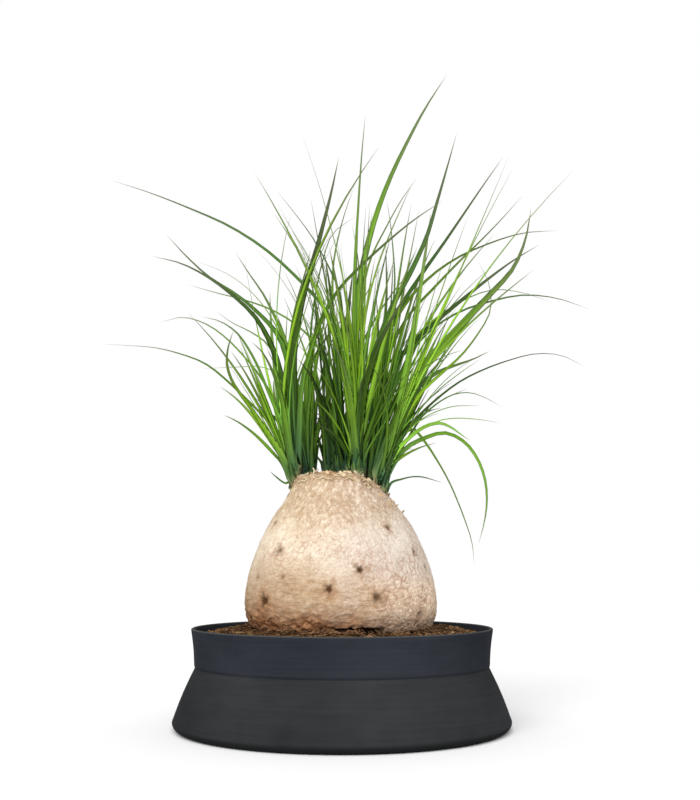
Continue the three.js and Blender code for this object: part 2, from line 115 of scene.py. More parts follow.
def quads_between(rows, columns):
    """Faces between neighbouring rows of a grid whose columns run round and close on themselves."""
    corner = np.arange((rows - 1) * columns).reshape(rows - 1, columns)
    beside = np.roll(corner, -1, axis=1)
    return np.stack((corner, beside, beside + columns, corner + columns), -1).reshape(-1, 4).tolist()


def closed_rings(name, rings, first_pole, last_pole):
    """A closed surface through rings of points that each run round the upright axis: quads between
    neighbouring rings, and a fan from the first and from the last ring to a pole of its own."""
    rows, sides = rings.shape[:2]
    first = np.arange(sides)
    last = first + (rows - 1) * sides
    faces = quads_between(rows, sides)
    faces += np.stack((np.full(sides, rows * sides), np.roll(first, -1), first), -1).tolist()
    faces += np.stack((np.full(sides, rows * sides + 1), last, np.roll(last, -1)), -1).tolist()
    points = np.concatenate((rings.reshape(-1, 3), (first_pole, last_pole)))
    return set_into_mesh(name, points, faces)


def turned_rings(radii, heights, turn):
    """A ring of points round the upright axis for each radius and height, at the given angles."""
    return np.stack((radii * np.cos(turn), radii * np.sin(turn), heights + 0 * radii * turn), -1)


def arc(centre, reach, start, end, steps):
    """Radius and height of points round an ellipse in the profile, whose half axes are the reach,
    from one angle to another."""
    angle = np.radians(np.linspace(start, end, steps))[:, None]
    return np.asarray(centre) + np.asarray(reach) * np.concatenate((np.cos(angle), np.sin(angle)), 1)


def straight(start, end, steps):
    """Radius and height of evenly spaced points between two places in the profile, ends left out."""
    share = np.linspace(0, 1, steps + 2)[1:-1, None]
    return np.asarray(start) * (1 - share) + np.asarray(end) * share


bowl_sides = 256
skirt_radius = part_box("pot")[1].x
rim_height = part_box("pot")[1].z
waist = np.array((skirt_radius - 0.0192, 0.0540))
rim_radius = skirt_radius - 0.0150
foot_rounding = np.array((0.0090, 0.0070))
skirt_bulge, band_hollow = 0.0009, 0.0005
lip_rounding = 0.0009
lip_fall_in = 0.0006
wall = 0.0040
inside_floor = 0.0055

foot = arc((skirt_radius - foot_rounding[0], foot_rounding[1]), foot_rounding, -90, 14, 14)
skirt = straight(foot[-1], waist, 22)
skirt[:, 0] += skirt_bulge * np.sin(np.linspace(0, np.pi, len(skirt)))
seam = waist + ((0.0003, -0.0003), (0.0, 0.0), (0.0002, 0.0004), (0.0008, 0.0007))
band = straight(seam[-1], (rim_radius, rim_height - lip_rounding), 16)
band[:, 0] -= band_hollow * np.sin(np.linspace(0, np.pi, len(band)))
lip = arc((rim_radius - lip_rounding, rim_height - lip_rounding), lip_rounding, 0, 180, 9)
lip[:, 0] -= np.linspace(0, wall - 2 * lip_rounding - lip_fall_in, len(lip))
inside = np.array((
    (waist[0] - wall, waist[1] - 0.001),
    (skirt_radius - wall - 0.0015, foot_rounding[0] + 0.003),
    (skirt_radius - wall - 0.0050, inside_floor),
))
underside = np.array(((0.06, 0.0), (skirt_radius - 0.02, 0.0)))
profile = np.concatenate((underside, foot, skirt, seam, band, lip, inside))
turn = np.linspace(0, 2 * np.pi, bowl_sides, endpoint=False)
bowl_rings = turned_rings(profile[:, :1], profile[:, 1:], turn)
bowl = closed_rings("bowl_shell", bowl_rings, (0, 0, 0.0), (0, 0, inside_floor))


def new_material(name, roughness, specular):
    """A material whose Principled shader has an even roughness and specular level."""
    material = bpy.data.materials.new(name)
    material.use_nodes = True
    shader = material.node_tree.nodes["Principled BSDF"]
    shader.inputs["Roughness"].default_value = roughness
    shader.inputs["Specular IOR Level"].default_value = specular
    return material, material.node_tree, shader


def feed(tree, socket, value):
    """Links a socket to another node's output, or sets it to a number, vector or colour."""
    if isinstance(value, bpy.types.NodeSocket):
        tree.links.new(value, socket)
    elif socket.type == "RGBA":
        socket.default_value = (*value, 1.0)
    else:
        socket.default_value = value


def add_node(tree, kind, settings=None, **inputs):
    """A shader node with its settings, whose named inputs are fed."""
    node = tree.nodes.new("ShaderNode" + kind)
    for key, value in (settings or {}).items():
        setattr(node, key, value)
    for key, value in inputs.items():
        feed(tree, node.inputs[key.replace("_", " ")], value)
    return node


def worked_out(tree, operation, *values, clamp=False):
    """The result of one arithmetic step on numbers or other nodes' outputs."""
    node = add_node(tree, "Math", {"operation": operation, "use_clamp": clamp})
    for socket, value in zip(node.inputs, values):
        feed(tree, socket, value)
    return node.outputs[0]


def colour_ramp(tree, factor, stops):
    """A colour that follows the factor through stops of place and colour."""
    ramp = add_node(tree, "ValToRGB", Fac=factor)
    elements = ramp.color_ramp.elements
    while len(elements) < len(stops):
        elements.new(0.5)
    for element, (place, colour) in zip(elements, stops):
        element.position = place
        element.color = (*colour, 1.0)
    return ramp.outputs["Color"]


def blended(tree, how, factor, below, above):
    """Two colours mixed by a factor, in one of the mixing ways such as MIX or MULTIPLY."""
    node = tree.nodes.new("ShaderNodeMix")
    node.data_type = "RGBA"
    node.blend_type = how
    for place, value in ((0, factor), (6, below), (7, above)):
        feed(tree, node.inputs[place], value)
    return node.outputs[2]


def shaded(tree, tint, factor, stops, share=1.0):
    """A tint multiplied, by a share, with a colour that follows the factor through its stops."""
    return blended(tree, "MULTIPLY", share, tint, colour_ramp(tree, factor, stops))


def mottling_group():
    """Patches of two sizes: a coarse noise and a finer one added in a share, stretched in contrast
    about the middle. Value runs from 0 to 1."""
    fine_scale = 6.0
    tree = bpy.data.node_groups.new("mottling", "ShaderNodeTree")
    tree.interface.new_socket("Vector", in_out="INPUT", socket_type="NodeSocketVector")
    for label, value in (("Scale", 40.0), ("Fine Share", 0.4), ("Contrast", 2.0)):
        socket = tree.interface.new_socket(label, in_out="INPUT", socket_type="NodeSocketFloat")
        socket.default_value = value
    tree.interface.new_socket("Value", in_out="OUTPUT", socket_type="NodeSocketFloat")
    given = tree.nodes.new("NodeGroupInput").outputs
    finer = worked_out(tree, "MULTIPLY", given["Scale"], fine_scale)
    coarse = add_node(tree, "TexNoise", Vector=given["Vector"], Scale=given["Scale"], Detail=3.0)
    fine = add_node(tree, "TexNoise", Vector=given["Vector"], Scale=finer, Detail=4.0)
    mixed = tree.nodes.new("ShaderNodeMix")
    for place, value in ((0, given["Fine Share"]), (2, coarse.outputs["Fac"]), (3, fine.outputs["Fac"])):
        feed(tree, mixed.inputs[place], value)
    centred = worked_out(tree, "SUBTRACT", mixed.outputs[0], 0.5)
    stretched = worked_out(tree, "MULTIPLY_ADD", centred, given["Contrast"], 0.5, clamp=True)
    tree.links.new(stretched, tree.nodes.new("NodeGroupOutput").inputs["Value"])
    return tree


mottling = mottling_group()


def mottled(tree, vector, scale, fine_share, contrast):
    """The mottling group placed in a material with its own values; gives its Value output."""
    node = tree.nodes.new("ShaderNodeGroup")
    node.node_tree = mottling
    values = {"Vector": vector, "Scale": scale, "Fine Share": fine_share, "Contrast": contrast}
    for label, value in values.items():
        feed(tree, node.inputs[label], value)
    return node.outputs["Value"]


def squeezed(tree, vector, factors):
    """A vector multiplied along each axis, which stretches a pattern where the factor is small."""
    return add_node(tree, "Mapping", Vector=vector, Scale=factors).outputs["Vector"]


def ranged(tree, value, start, end, low, high, smooth=True):
    """A value's run from start to end mapped onto low to high and held beyond it."""
    node = add_node(tree, "MapRange", Value=value, From_Min=start, From_Max=end, To_Min=low, To_Max=high)
    node.interpolation_type = "SMOOTHSTEP" if smooth else "LINEAR"
    return node.outputs["Result"]


def raised(tree, shader, height, strength, distance):
    """A bump from a height between 0 and 1, set on the shader's normal."""
    bump = add_node(tree, "Bump", Height=height, Strength=strength, Distance=distance)
    tree.links.new(bump.outputs["Normal"], shader.inputs["Normal"])


charcoal, tree, shader = new_material("brushed_charcoal", 0.62, 0.004)
place = add_node(tree, "TexCoord").outputs["Object"]
brushing = mottled(tree, squeezed(tree, place, (0.11, 0.11, 3.0)), 160.0, 0.35, 1.6)
cloud = mottled(tree, squeezed(tree, place, (1.0, 1.0, 1.6)), 9.0, 0.2, 3.0)
height = add_node(tree, "SeparateXYZ", Vector=place).outputs["Z"]
above_waist = ranged(tree, height, waist[1] - 0.0004, waist[1] + 0.0006, 0.0, 1.0)
# painted shade: the underside of the rounded foot is darkened where it turns down towards the floor
painted_shade_under_foot = ranged(tree, height, 0.0040, 0.0078, 1.0, 0.0)
# painted highlight: a paler line along the top of the band, where the lip would catch the light
painted_lip_highlight = ranged(tree, height, rim_height - 0.0013, rim_height - 0.0003, 0.0, 0.8)
tone = colour_ramp(tree, cloud, ((0.0, (0.0180, 0.0196, 0.0212)), (1.0, (0.0294, 0.0312, 0.0332))))
band_tone = blended(tree, "MULTIPLY", 1.0, tone, (0.90, 0.95, 1.10))
tone = blended(tree, "MIX", above_waist, tone, band_tone)
tone = blended(tree, "MIX", painted_shade_under_foot, tone, (0.0130, 0.0140, 0.0145))
tone = blended(tree, "MIX", painted_lip_highlight, tone, (0.072, 0.070, 0.068))
tone = shaded(tree, tone, brushing, ((0.0, (0.82, 0.82, 0.82)), (1.0, (1.18, 1.18, 1.18))))
tree.links.new(tone, shader.inputs["Base Color"])
tree.links.new(ranged(tree, brushing, 0.0, 1.0, 0.54, 0.72, False), shader.inputs["Roughness"])
raised(tree, shader, brushing, 0.25, 0.0003)
bowl.data.materials.append(charcoal)
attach(bowl, "root")
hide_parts("pot")


# The trunk is one grown piece, swollen above the soil and cut across at the top, in thin corky
# bark. The swelling has split it into plates and folds, and knots mark where shoots dried off.
def lattice_draw(cells, salt):
    """A repeatable draw from 0 to 1 for each whole-numbered cell: its counts times large odd
    numbers, combined bit by bit, stirred and cut to their low bits."""
    stirred = (cells[..., 0] * 73856093) ^ (cells[..., 1] * 19349663) ^ (cells[..., 2] * 83492791)
    stirred = ((stirred ^ (salt * 26544357)) * 1274126177) & 0xFFFFFFFF
    stirred = ((stirred ^ (stirred >> 15)) * 2246822519) & 0xFFFFFFFF
    return ((stirred ^ (stirred >> 13)) & 0xFFFF) / 65535.0


def lumps(points, size, salt):
    """Smooth noise from -1 to 1: the draws at the eight corners of each point's cell, weighted by
    a smooth step of how near the point lies to each."""
    scaled = points / size
    low = np.floor(scaled).astype(np.int64)
    part = scaled - low
    part = part * part * (3 - 2 * part)
    total = np.zeros(points.shape[:-1])
    for corner in np.ndindex(2, 2, 2):
        weight = np.prod(np.where(corner, part, 1 - part), axis=-1)
        total += weight * lattice_draw(low + corner, salt)
    return 2 * total - 1


def bell(value, width, power=2):
    """A bell curve, 1 where the value is 0: e to the minus of value over width to a power."""
    return np.exp(-((value / width) ** power))


def creases(points, size, salt, width):
    """Winding grooves, 1 in their middle: a bell curve of the smooth noise about its zero."""
    return bell(lumps(points, size, salt), width)


def plate_edges(points, size, salt):
    """How deep each point lies inside its plate: the distance to the second-nearest jittered cell
    centre less that to the nearest, in cells, 0 on a border."""
    scaled = points / size
    low = np.floor(scaled).astype(np.int64)
    nearest = np.full(points.shape[:-1], 9.0)
    second = nearest.copy()
    for step in np.ndindex(3, 3, 3):
        cell = low + np.array(step) - 1
        jitter = np.stack([lattice_draw(cell, salt + axis) for axis in range(3)], -1)
        apart = np.linalg.norm(cell + jitter - scaled, axis=-1)
        second = np.minimum(second, np.maximum(nearest, apart))
        nearest = np.minimum(nearest, apart)
    return second - nearest


def smooth_share(value, start, end):
    """0 before the start, 1 past the end and a smooth step between them."""
    share = np.clip((value - start) / (end - start), 0, 1)
    return share * share * (3 - 2 * share)


def spline(points, shares):
    """A smooth curve through the points by the uniform Catmull-Rom formula, its end points
    doubled, read at shares of its run from 0 to 1."""
    points = np.asarray(points, float)
    last = len(points) - 1
    run = np.clip(np.asarray(shares), 0, 1) * last
    i = np.minimum(run.astype(int), last - 1)
    u = (run - i)[:, None]
    p0, p1 = points[np.maximum(i - 1, 0)], points[i]
    p2, p3 = points[i + 1], points[np.minimum(i + 2, last)]
    bend = -p0 + 3 * p1 - 3 * p2 + p3
    return 0.5 * (2 * p1 + (p2 - p0) * u + (2 * p0 - 5 * p1 + 4 * p2 - p3) * u**2 + bend * u**3)


def run_along(points):
    """How far each point lies along the line through all of them."""
    return np.concatenate(((0,), np.cumsum(np.linalg.norm(np.diff(points, axis=0), axis=1))))


def cut_fall(x, level):
    """How far the top of the trunk falls away to the right, where the saw went through aslant."""
    return 6.0 * smooth_share(x, 4, 31) * smooth_share(level, 202, 221)


# radius and height up the outline, in millimetres
trunk_outline = (
    (30, 62), (60, 67), (73.5, 79), (82, 90), (87, 104), (84.5, 130), (76, 157), (64.5, 181),
    (51, 200), (45, 210), (41.5, 217.5), (35, 223.5), (20, 226), (8, 226.5),
)
# how far the outline's middle stands to the side at its lower and at its upper end, and the
# height from the one to the other
trunk_lean, lean_height = (-2.0, -4.5), 165
trunk_foot, trunk_top, buried_below = 62, 226.0, 78
# degrees round from the front towards the right, height and radius, and how dark it is
knots = (
    (42, 175.4, 3.1, 0.9), (62, 154.7, 3.0, 0.9), (-41, 155.4, 3.9, 0.75), (13, 139.5, 4.4, 1.0),
    (-5, 123.1, 4.6, 1.0), (22, 116.5, 5.2, 0.9), (-47, 113, 6.6, 1.0), (56, 100.3, 6.2, 0.58),
    (-59, 179.8, 2.4, 0.8), (72, 142.1, 2.6, 0.7), (-88, 163, 2.6, 0.9), (-57, 132.6, 2.2, 0.6),
    (-34, 132.9, 2.2, 0.6), (-65, 96.8, 4.6, 0.6), (160, 150, 3.6, 0.9), (200, 120, 4.2, 1.0),
    (118, 128, 3.4, 0.8), (235, 165, 3.2, 0.9), (262, 108, 3.8, 0.9), (180, 98, 4.0, 0.7),
)
around, rows_buried, rows_bare = 480, 9, 190

# the outline's stations, close together above the soil, and the smooth skin that they carry
turn = np.linspace(0, 2 * np.pi, around, endpoint=False)
fine_run = np.linspace(0, 1, 2001)
fine_outline = spline(trunk_outline, fine_run)
travel = run_along(fine_outline)
soil_line = travel[np.argmax(fine_outline[:, 1] > buried_below)]
stations = np.linspace(0, soil_line, rows_buried + 1)[:-1]
stations = np.concatenate((stations, np.linspace(soil_line, travel[-1], rows_bare)))
outline_at = spline(trunk_outline, np.interp(stations, travel, fine_run))
slope = np.gradient(outline_at, axis=0)
slope /= np.linalg.norm(slope, axis=1)[:, None]
radius, level = outline_at[:, :1], outline_at[:, 1:]
high = smooth_share(level, 165, 215)
lobes = 1.3 * np.sin(3 * turn + 0.7) + 0.8 * np.sin(5 * turn + 2)
folds = 0.7 * np.sin(11 * turn + 0.06 * level) * high
lean_at = trunk_lean[0] + (trunk_lean[1] - trunk_lean[0]) * (level - trunk_foot) / lean_height
full = smooth_share(radius, 12, 44)
smooth_radius = radius + (lobes * (1 - 0.6 * high) + folds) * full
bark_place = turned_rings(smooth_radius, level, turn)

# the neck is folded upright, the belly level, the right front is crazed, and the foot is shaggy
neck_share = smooth_share(level + 9 * lumps(bark_place, 30.0, 81), 158, 196)
belly_share = 1 - smooth_share(level + 12 * lumps(bark_place, 34.0, 82), 114, 156)
foot_share = level + 6 * lumps(bark_place, 14.0, 83) + 7 * np.cos(turn)
foot_share = 1 - smooth_share(foot_share, 86, 112)
crazed = 0.5 + 0.5 * np.cos(turn + 0.75) + 0.9 * lumps(bark_place, 55.0, 84)
crazed = smooth_share(crazed, 0.25, 0.95) * (1 - smooth_share(level, 150, 182))
waver = np.stack([lumps(bark_place, 9.0, 31 + axis) for axis in range(3)], -1)
upright = (bark_place + 1.6 * waver) * (1, 1, 0.40)
flat = (bark_place + 1.6 * waver) * (0.62, 0.62, 1.5)
plates = plate_edges(bark_place + 2.6 * waver, 7.0, 3)
pebbles = plate_edges(bark_place + 1.0 * waver, 2.7, 17)
fade = smooth_share(lumps(bark_place, 13.0, 19), -0.55, 0.45)
cracks = bell(plates, 0.075) * (0.10 + 0.90 * crazed) * (0.25 + 0.75 * fade)
neck_creases = np.maximum(creases(upright, 3.6, 12, 0.20), 0.75 * creases(upright, 2.0, 13, 0.26))
belly_creases = np.maximum(creases(flat, 4.4, 21, 0.18), 0.7 * creases(flat, 2.3, 22, 0.24))
relief = -0.62 * cracks - (0.16 + 0.16 * crazed) * bell(pebbles, 0.13)
relief -= 0.80 * neck_creases * (0.12 + 0.88 * neck_share)
relief -= 0.66 * belly_creases * belly_share * (1 - 0.7 * crazed) * (1 + 0.8 * foot_share)
relief += 0.95 * lumps(bark_place, 2.2, 23) * foot_share
groove = np.clip(-relief / 0.75, 0, 1)
swell = relief + 0.60 * lumps(bark_place, 26.0, 5) + 0.40 * lumps(bark_place, 9.0, 8)
swell += 0.9 * lumps(flat, 6.0, 24) * foot_share

# each knot is a pit in a raised ring, star-shaped, its arms blunter on the large ones
knot_mask, knot_ring = np.zeros((2, *bark_place.shape[:2]))
below_cut = outline_at[:180]
for angle, knot_height, size, dark in knots:
    reach = np.interp(knot_height, below_cut[:, 1], below_cut[:, 0])
    across = np.angle(np.exp(1j * (turn - math.radians(angle - 90)))) * reach
    rise = level - knot_height
    direction = np.arctan2(rise, across + 0 * rise)
    arms = 0.24 if size < 5 else 0.10
    star = 1 + arms * np.cos(5 * direction + angle) + 0.16 * np.cos(3 * direction - 2 * angle)
    star = star + 0.46 * lumps(bark_place, 1.7, 41)
    apart = np.hypot(across, rise) / (size * star)
    swell += dark * (0.55 * bell(apart - 1.15, 0.35) - 1.5 * bell(apart, 0.62))
    core = bell(np.hypot(across, rise), 0.62 * size, 4)
    knot_mask = np.maximum(knot_mask, dark * (0.64 * bell(apart, 0.90, 6) + 0.36 * core))
    knot_ring = np.maximum(knot_ring, dark * bell(apart - 1.15, 0.42))

# a hollow under the front of the foot, the torn edge of the cut, and the rough cut itself
front_turn = turn - 2 * np.pi
foot_hollow = lumps(bark_place, 4.6, 91) + 1.6 * bell(front_turn + math.radians(72), 0.14)
foot_hollow = smooth_share(foot_hollow, 0.0, 0.6) * bell(level - 87.0, 3.6, 4)
foot_hollow = foot_hollow * bell(front_turn + math.radians(81), 0.36, 4)
swell -= 3.4 * foot_hollow
torn = bell(level - 220.5, 4.5) * full
swell += torn * (1.2 * lumps(bark_place, 4.2, 51) + 0.8 * lumps(bark_place, 1.9, 52))
on_top = smooth_share(level, 222.5, 225)
swell += on_top * (0.9 * lumps(bark_place, 6.0, 61) + 0.6 * lumps(bark_place, 2.4, 62))
skin = turned_rings(smooth_radius + slope[:, 1:] * swell, level - slope[:, :1] * swell, turn)
skin[..., 0] += lean_at
skin[..., 2] -= cut_fall(skin[..., 0], level)
skin_poles = 0.001 * np.array(((trunk_lean[0], 0, trunk_foot), (trunk_lean[1], 0, trunk_top)))
trunk = closed_rings("trunk_bark", skin * 0.001, *skin_poles)


def keep_on_points(piece, label, values):
    """Stores one number for each point of a mesh, padded with zeros for its poles."""
    padded = np.zeros(len(piece.data.vertices), np.float32)
    padded[: values.size] = values.ravel()
    piece.data.attributes.new(label, "FLOAT", "POINT").data.foreach_set("value", padded)


edge_rust = torn * (0.6 + 0.4 * lumps(bark_place, 5.0, 53)) + 0.8 * on_top
edge_rust = edge_rust + 0.5 * np.clip(lumps(bark_place * (1, 1, 0.5), 11.0, 54), 0, 1) * neck_share
bark_parts = {
    "knot": knot_mask, "ring": knot_ring, "crack": np.clip(cracks, 0, 1) * crazed, "groove": groove,
    "neck": neck_share, "belly": belly_share, "foot": foot_share, "rust": np.clip(edge_rust, 0, 1),
    "hollow": np.clip(foot_hollow * 1.3, 0, 1),
}
for label, values in bark_parts.items():
    keep_on_points(trunk, label, values)


def times(tree, value, factor):
    """A value multiplied by a number or by another value, held between 0 and 1."""
    return worked_out(tree, "MULTIPLY", value, factor, clamp=True)


def read_points(tree, label, factor=None):
    """The number kept on the mesh's points under a label, times a factor where one is given."""
    kept = add_node(tree, "Attribute", {"attribute_name": label}).outputs["Fac"]
    return kept if factor is None else times(tree, kept, factor)


bark, tree, shader = new_material("corky_bark", 0.88, 0.12)
place = add_node(tree, "TexCoord").outputs["Object"]
axes = add_node(tree, "SeparateXYZ", Vector=place).outputs
patches = mottled(tree, place, 34.0, 0.35, 2.6)
freckles = mottled(tree, place, 240.0, 0.5, 2.8)

# warm cream on the left and pinker on the right, freckled; the belly and the neck are browner
warm = colour_ramp(tree, patches, (
    (0.0, (0.62, 0.500, 0.362)), (0.45, (0.76, 0.655, 0.505)), (1.0, (0.88, 0.800, 0.655)),
))
pinkish = colour_ramp(tree, patches, (
    (0.0, (0.62, 0.520, 0.440)), (0.45, (0.755, 0.665, 0.580)), (1.0, (0.87, 0.800, 0.715)),
))
tint = blended(tree, "MIX", ranged(tree, axes["X"], -0.050, 0.020, 0.0, 1.0), warm, pinkish)
tint = shaded(tree, tint, freckles, (
    (0.0, (0.68, 0.58, 0.50)), (0.36, (1.0, 1.0, 1.0)), (1.0, (1.06, 1.05, 1.04)),
), 0.7)
belly_part = read_points(tree, "belly", times(tree, patches, 1.15))
belly_part = times(tree, belly_part, ranged(tree, axes["X"], 0.010, 0.080, 1.0, 0.45))
belly_tint = blended(tree, "MULTIPLY", 1.0, tint, (0.70, 0.57, 0.425))
tint = blended(tree, "MIX", belly_part, tint, belly_tint)
neck_tint = blended(tree, "MULTIPLY", 1.0, tint, (0.88, 0.83, 0.765))
tint = blended(tree, "MIX", read_points(tree, "neck", 0.85), tint, neck_tint)
left_part = ranged(tree, axes["X"], -0.050, 0.060, 1.0, 0.0, False)
left_part = times(tree, left_part, ranged(tree, axes["Z"], 0.120, 0.172, 1.0, 0.0))
tint = blended(tree, "MULTIPLY", left_part, tint, (0.77, 0.72, 0.69))
for label, stretch, scale in (("neck", (1.0, 1.0, 0.32), 320.0), ("belly", (0.42, 0.42, 1.5), 330.0)):
    dashes = mottled(tree, squeezed(tree, place, stretch), scale, 0.35, 3.2)
    tint = shaded(tree, tint, dashes, (
        (0.0, (0.58, 0.46, 0.34)), (0.5, (1.0, 1.0, 1.0)), (1.0, (1.24, 1.24, 1.22)),
    ), read_points(tree, label, 0.85))
# painted light: the belly's right side is lifted brighter than its own colour, standing in for fill
# light from the right
painted_light_right_side = read_points(tree, "belly", ranged(tree, axes["X"], 0.0, 0.070, 0.0, 1.0))
tint = blended(tree, "MULTIPLY", painted_light_right_side, tint, (1.34, 1.25, 1.14))

# hairlines, pits, grooves and cracks
network = add_node(tree, "TexVoronoi", {"feature": "DISTANCE_TO_EDGE"}, Vector=place, Scale=310.0)
hairline = ranged(tree, network.outputs["Distance"], 0.0, 0.10, 1.0, 0.0)
tint = blended(tree, "MIX", times(tree, hairline, 0.20), tint, (0.42, 0.26, 0.16))
pits = add_node(tree, "TexVoronoi", Vector=place, Scale=300.0)
pit_share = ranged(tree, pits.outputs["Distance"], 0.13, 0.30, 1.0, 0.0)
pit_share = times(tree, pit_share, ranged(tree, axes["X"], -0.02, 0.03, 1.0, 0.25))
pit_share = times(tree, pit_share, ranged(tree, patches, 0.35, 0.7, 1.0, 0.15))
tint = blended(tree, "MIX", times(tree, pit_share, 0.75), tint, (0.36, 0.22, 0.12))
tint = blended(tree, "MIX", read_points(tree, "groove", 0.60), tint, (0.38, 0.235, 0.13))
tint = blended(tree, "MIX", read_points(tree, "crack", 0.60), tint, (0.46, 0.25, 0.20))

# earth on the foot; to the right a redder tint, also painted paler as painted fill light; rust along the
# cut; the knots; and the hollow, painted near black as painted shade
earthy = mottled(tree, squeezed(tree, place, (1.0, 1.0, 2.4)), 90.0, 0.5, 2.6)
earth_tint = colour_ramp(tree, earthy, (
    (0.0, (0.110, 0.038, 0.014)), (0.5, (0.30, 0.128, 0.052)), (1.0, (0.64, 0.38, 0.21)),
))
rust_tint = colour_ramp(tree, earthy, (
    (0.0, (0.15, 0.060, 0.022)), (0.6, (0.37, 0.205, 0.095)), (1.0, (0.66, 0.48, 0.30)),
))
# the foot's right is tinted redder and lighter: partly its own reddish tan, partly painted fill light
# for a face turned down from the lamp
reddish_and_painted_light = read_points(tree, "foot", ranged(tree, axes["X"], 0.0, 0.060, 0.0, 0.55))
earthed = read_points(tree, "foot", ranged(tree, axes["X"], 0.0, 0.065, 1.0, 0.26))
for share, laid_over in (
    (reddish_and_painted_light, (0.92, 0.65, 0.45)), (earthed, earth_tint), (read_points(tree, "rust", 0.8), rust_tint),
    (read_points(tree, "ring", 0.50), (0.33, 0.155, 0.065)),
    (read_points(tree, "knot"), (0.078, 0.032, 0.009)),
    # painted shade: the hollow under the front of the foot is painted near black
    (read_points(tree, "hollow"), (0.022, 0.010, 0.005)),
):
    tint = blended(tree, "MIX", share, tint, laid_over)
tree.links.new(tint, shader.inputs["Base Color"])
grain = worked_out(tree, "SUBTRACT", freckles, times(tree, hairline, 0.5))
raised(tree, shader, grain, 0.7, 0.0007)
trunk.data.materials.append(bark)
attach(trunk, "root")
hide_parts("caudex")


# Papery scraps of bark and old leaf bases stand round the torn edge of the cut, where the trunk
# was sawn off. Each is a thin curl whose one edge grows out of the bark.
def unit(vectors):
    """Vectors scaled to a length of one."""
    return vectors / np.linalg.norm(vectors, axis=-1, keepdims=True)


def rows_within(lowest, highest, least_radius):
    """The numbers of the outline's stations between two heights that lie out past a radius."""
    height, reach = outline_at[:, 1], outline_at[:, 0]
    return np.flatnonzero((height > lowest) & (height < highest) & (reach > least_radius))


scraps, low_scraps, low_scrap_columns = 150, 12, (430, 488)
scrap_points_across, scrap_points_up = 5, 4
scrap_thickness = 0.00025

draws = np.random.default_rng(20)
scrap_row = draws.choice(rows_within(214, 230, 16), scraps)
scrap_row[-low_scraps:] = draws.choice(rows_within(188, 212, 16), low_scraps)
scrap_column = draws.integers(0, around, scraps)
scrap_column[-low_scraps:] = draws.integers(*low_scrap_columns, low_scraps) % around
root = skin[scrap_row, scrap_column]
round_axis = unit(skin[scrap_row, (scrap_column + 1) % around] - skin[scrap_row, scrap_column - 1])
row_above = np.minimum(scrap_row + 2, len(skin) - 1)
up_axis = unit(skin[row_above, scrap_column] - skin[scrap_row - 2, scrap_column])
out_axis = unit(np.cross(round_axis, up_axis))
swing = draws.normal(0, 0.4, (scraps, 1))
round_axis, up_axis = (
    round_axis * np.cos(swing) + up_axis * np.sin(swing),
    up_axis * np.cos(swing) - round_axis * np.sin(swing),
)
scrap_width = draws.lognormal(1.45, 0.45, (scraps, 1, 1))
scrap_length = draws.lognormal(0.75, 0.45, (scraps, 1, 1))
scrap_curl = draws.uniform(0.8, 3.0, (scraps, 1, 1))
u = np.linspace(-0.5, 0.5, scrap_points_across)[None, None, :]
v = np.linspace(0, 1, scrap_points_up)[None, :, None]
wave = draws.normal(0, 0.25, (scraps, 1, scrap_points_across))
narrowing = 1 - v * draws.uniform(0.1, 0.7, (scraps, 1, 1))
along_up = scrap_length * np.sin(scrap_curl * v) / scrap_curl * (1 + 0.5 * wave) - 0.5 * (1 - v)
along_out = scrap_length * (1 - np.cos(scrap_curl * v)) / scrap_curl + 0.7 * wave * v + 0.15
along_out = along_out + 0.5 * scrap_width * (u**2) - 0.3 * (1 - v)
scrap_points = (
    root[:, None, None]
    + (scrap_width * narrowing * u)[..., None] * round_axis[:, None, None]
    + along_up[..., None] * up_axis[:, None, None]
    + along_out[..., None] * out_axis[:, None, None]
)
scrap_size = scrap_points_across * scrap_points_up
row_start = np.arange(scrap_points_up - 1)[:, None] * scrap_points_across
corner = row_start + np.arange(scrap_points_across - 1)
patch = corner.reshape(-1, 1) + (0, 1, scrap_points_across + 1, scrap_points_across)
scrap_faces = (np.arange(scraps)[:, None, None] * scrap_size + patch).reshape(-1, 4).tolist()
scrap_piece = set_into_mesh("bark_scraps", scrap_points * 0.001, scrap_faces)
scrap_tone = draws.uniform(0, 1, scraps) ** 0.5
scrap_tone[-low_scraps:] *= 0.75
keep_on_points(scrap_piece, "tone", np.repeat(scrap_tone, scrap_size))
thickness = scrap_piece.modifiers.new("thickness", "SOLIDIFY")
thickness.thickness = scrap_thickness
thickness.offset = 0.0

papery, tree, shader = new_material("papery_bark", 0.82, 0.12)
place = add_node(tree, "TexCoord").outputs["Object"]
fleck = mottled(tree, place, 420.0, 0.5, 2.4)
paper_tint = colour_ramp(tree, read_points(tree, "tone"), (
    (0.0, (0.20, 0.085, 0.030)), (0.35, (0.42, 0.24, 0.11)), (0.7, (0.70, 0.53, 0.33)),
    (1.0, (0.86, 0.76, 0.56)),
))
paper_tint = shaded(tree, paper_tint, fleck, ((0.0, (0.70, 0.66, 0.60)), (1.0, (1.12, 1.12, 1.12))))
tree.links.new(paper_tint, shader.inputs["Base Color"])
raised(tree, shader, fleck, 0.5, 0.0003)
scrap_piece.data.materials.append(papery)
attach(scrap_piece, "root")
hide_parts("caudex")


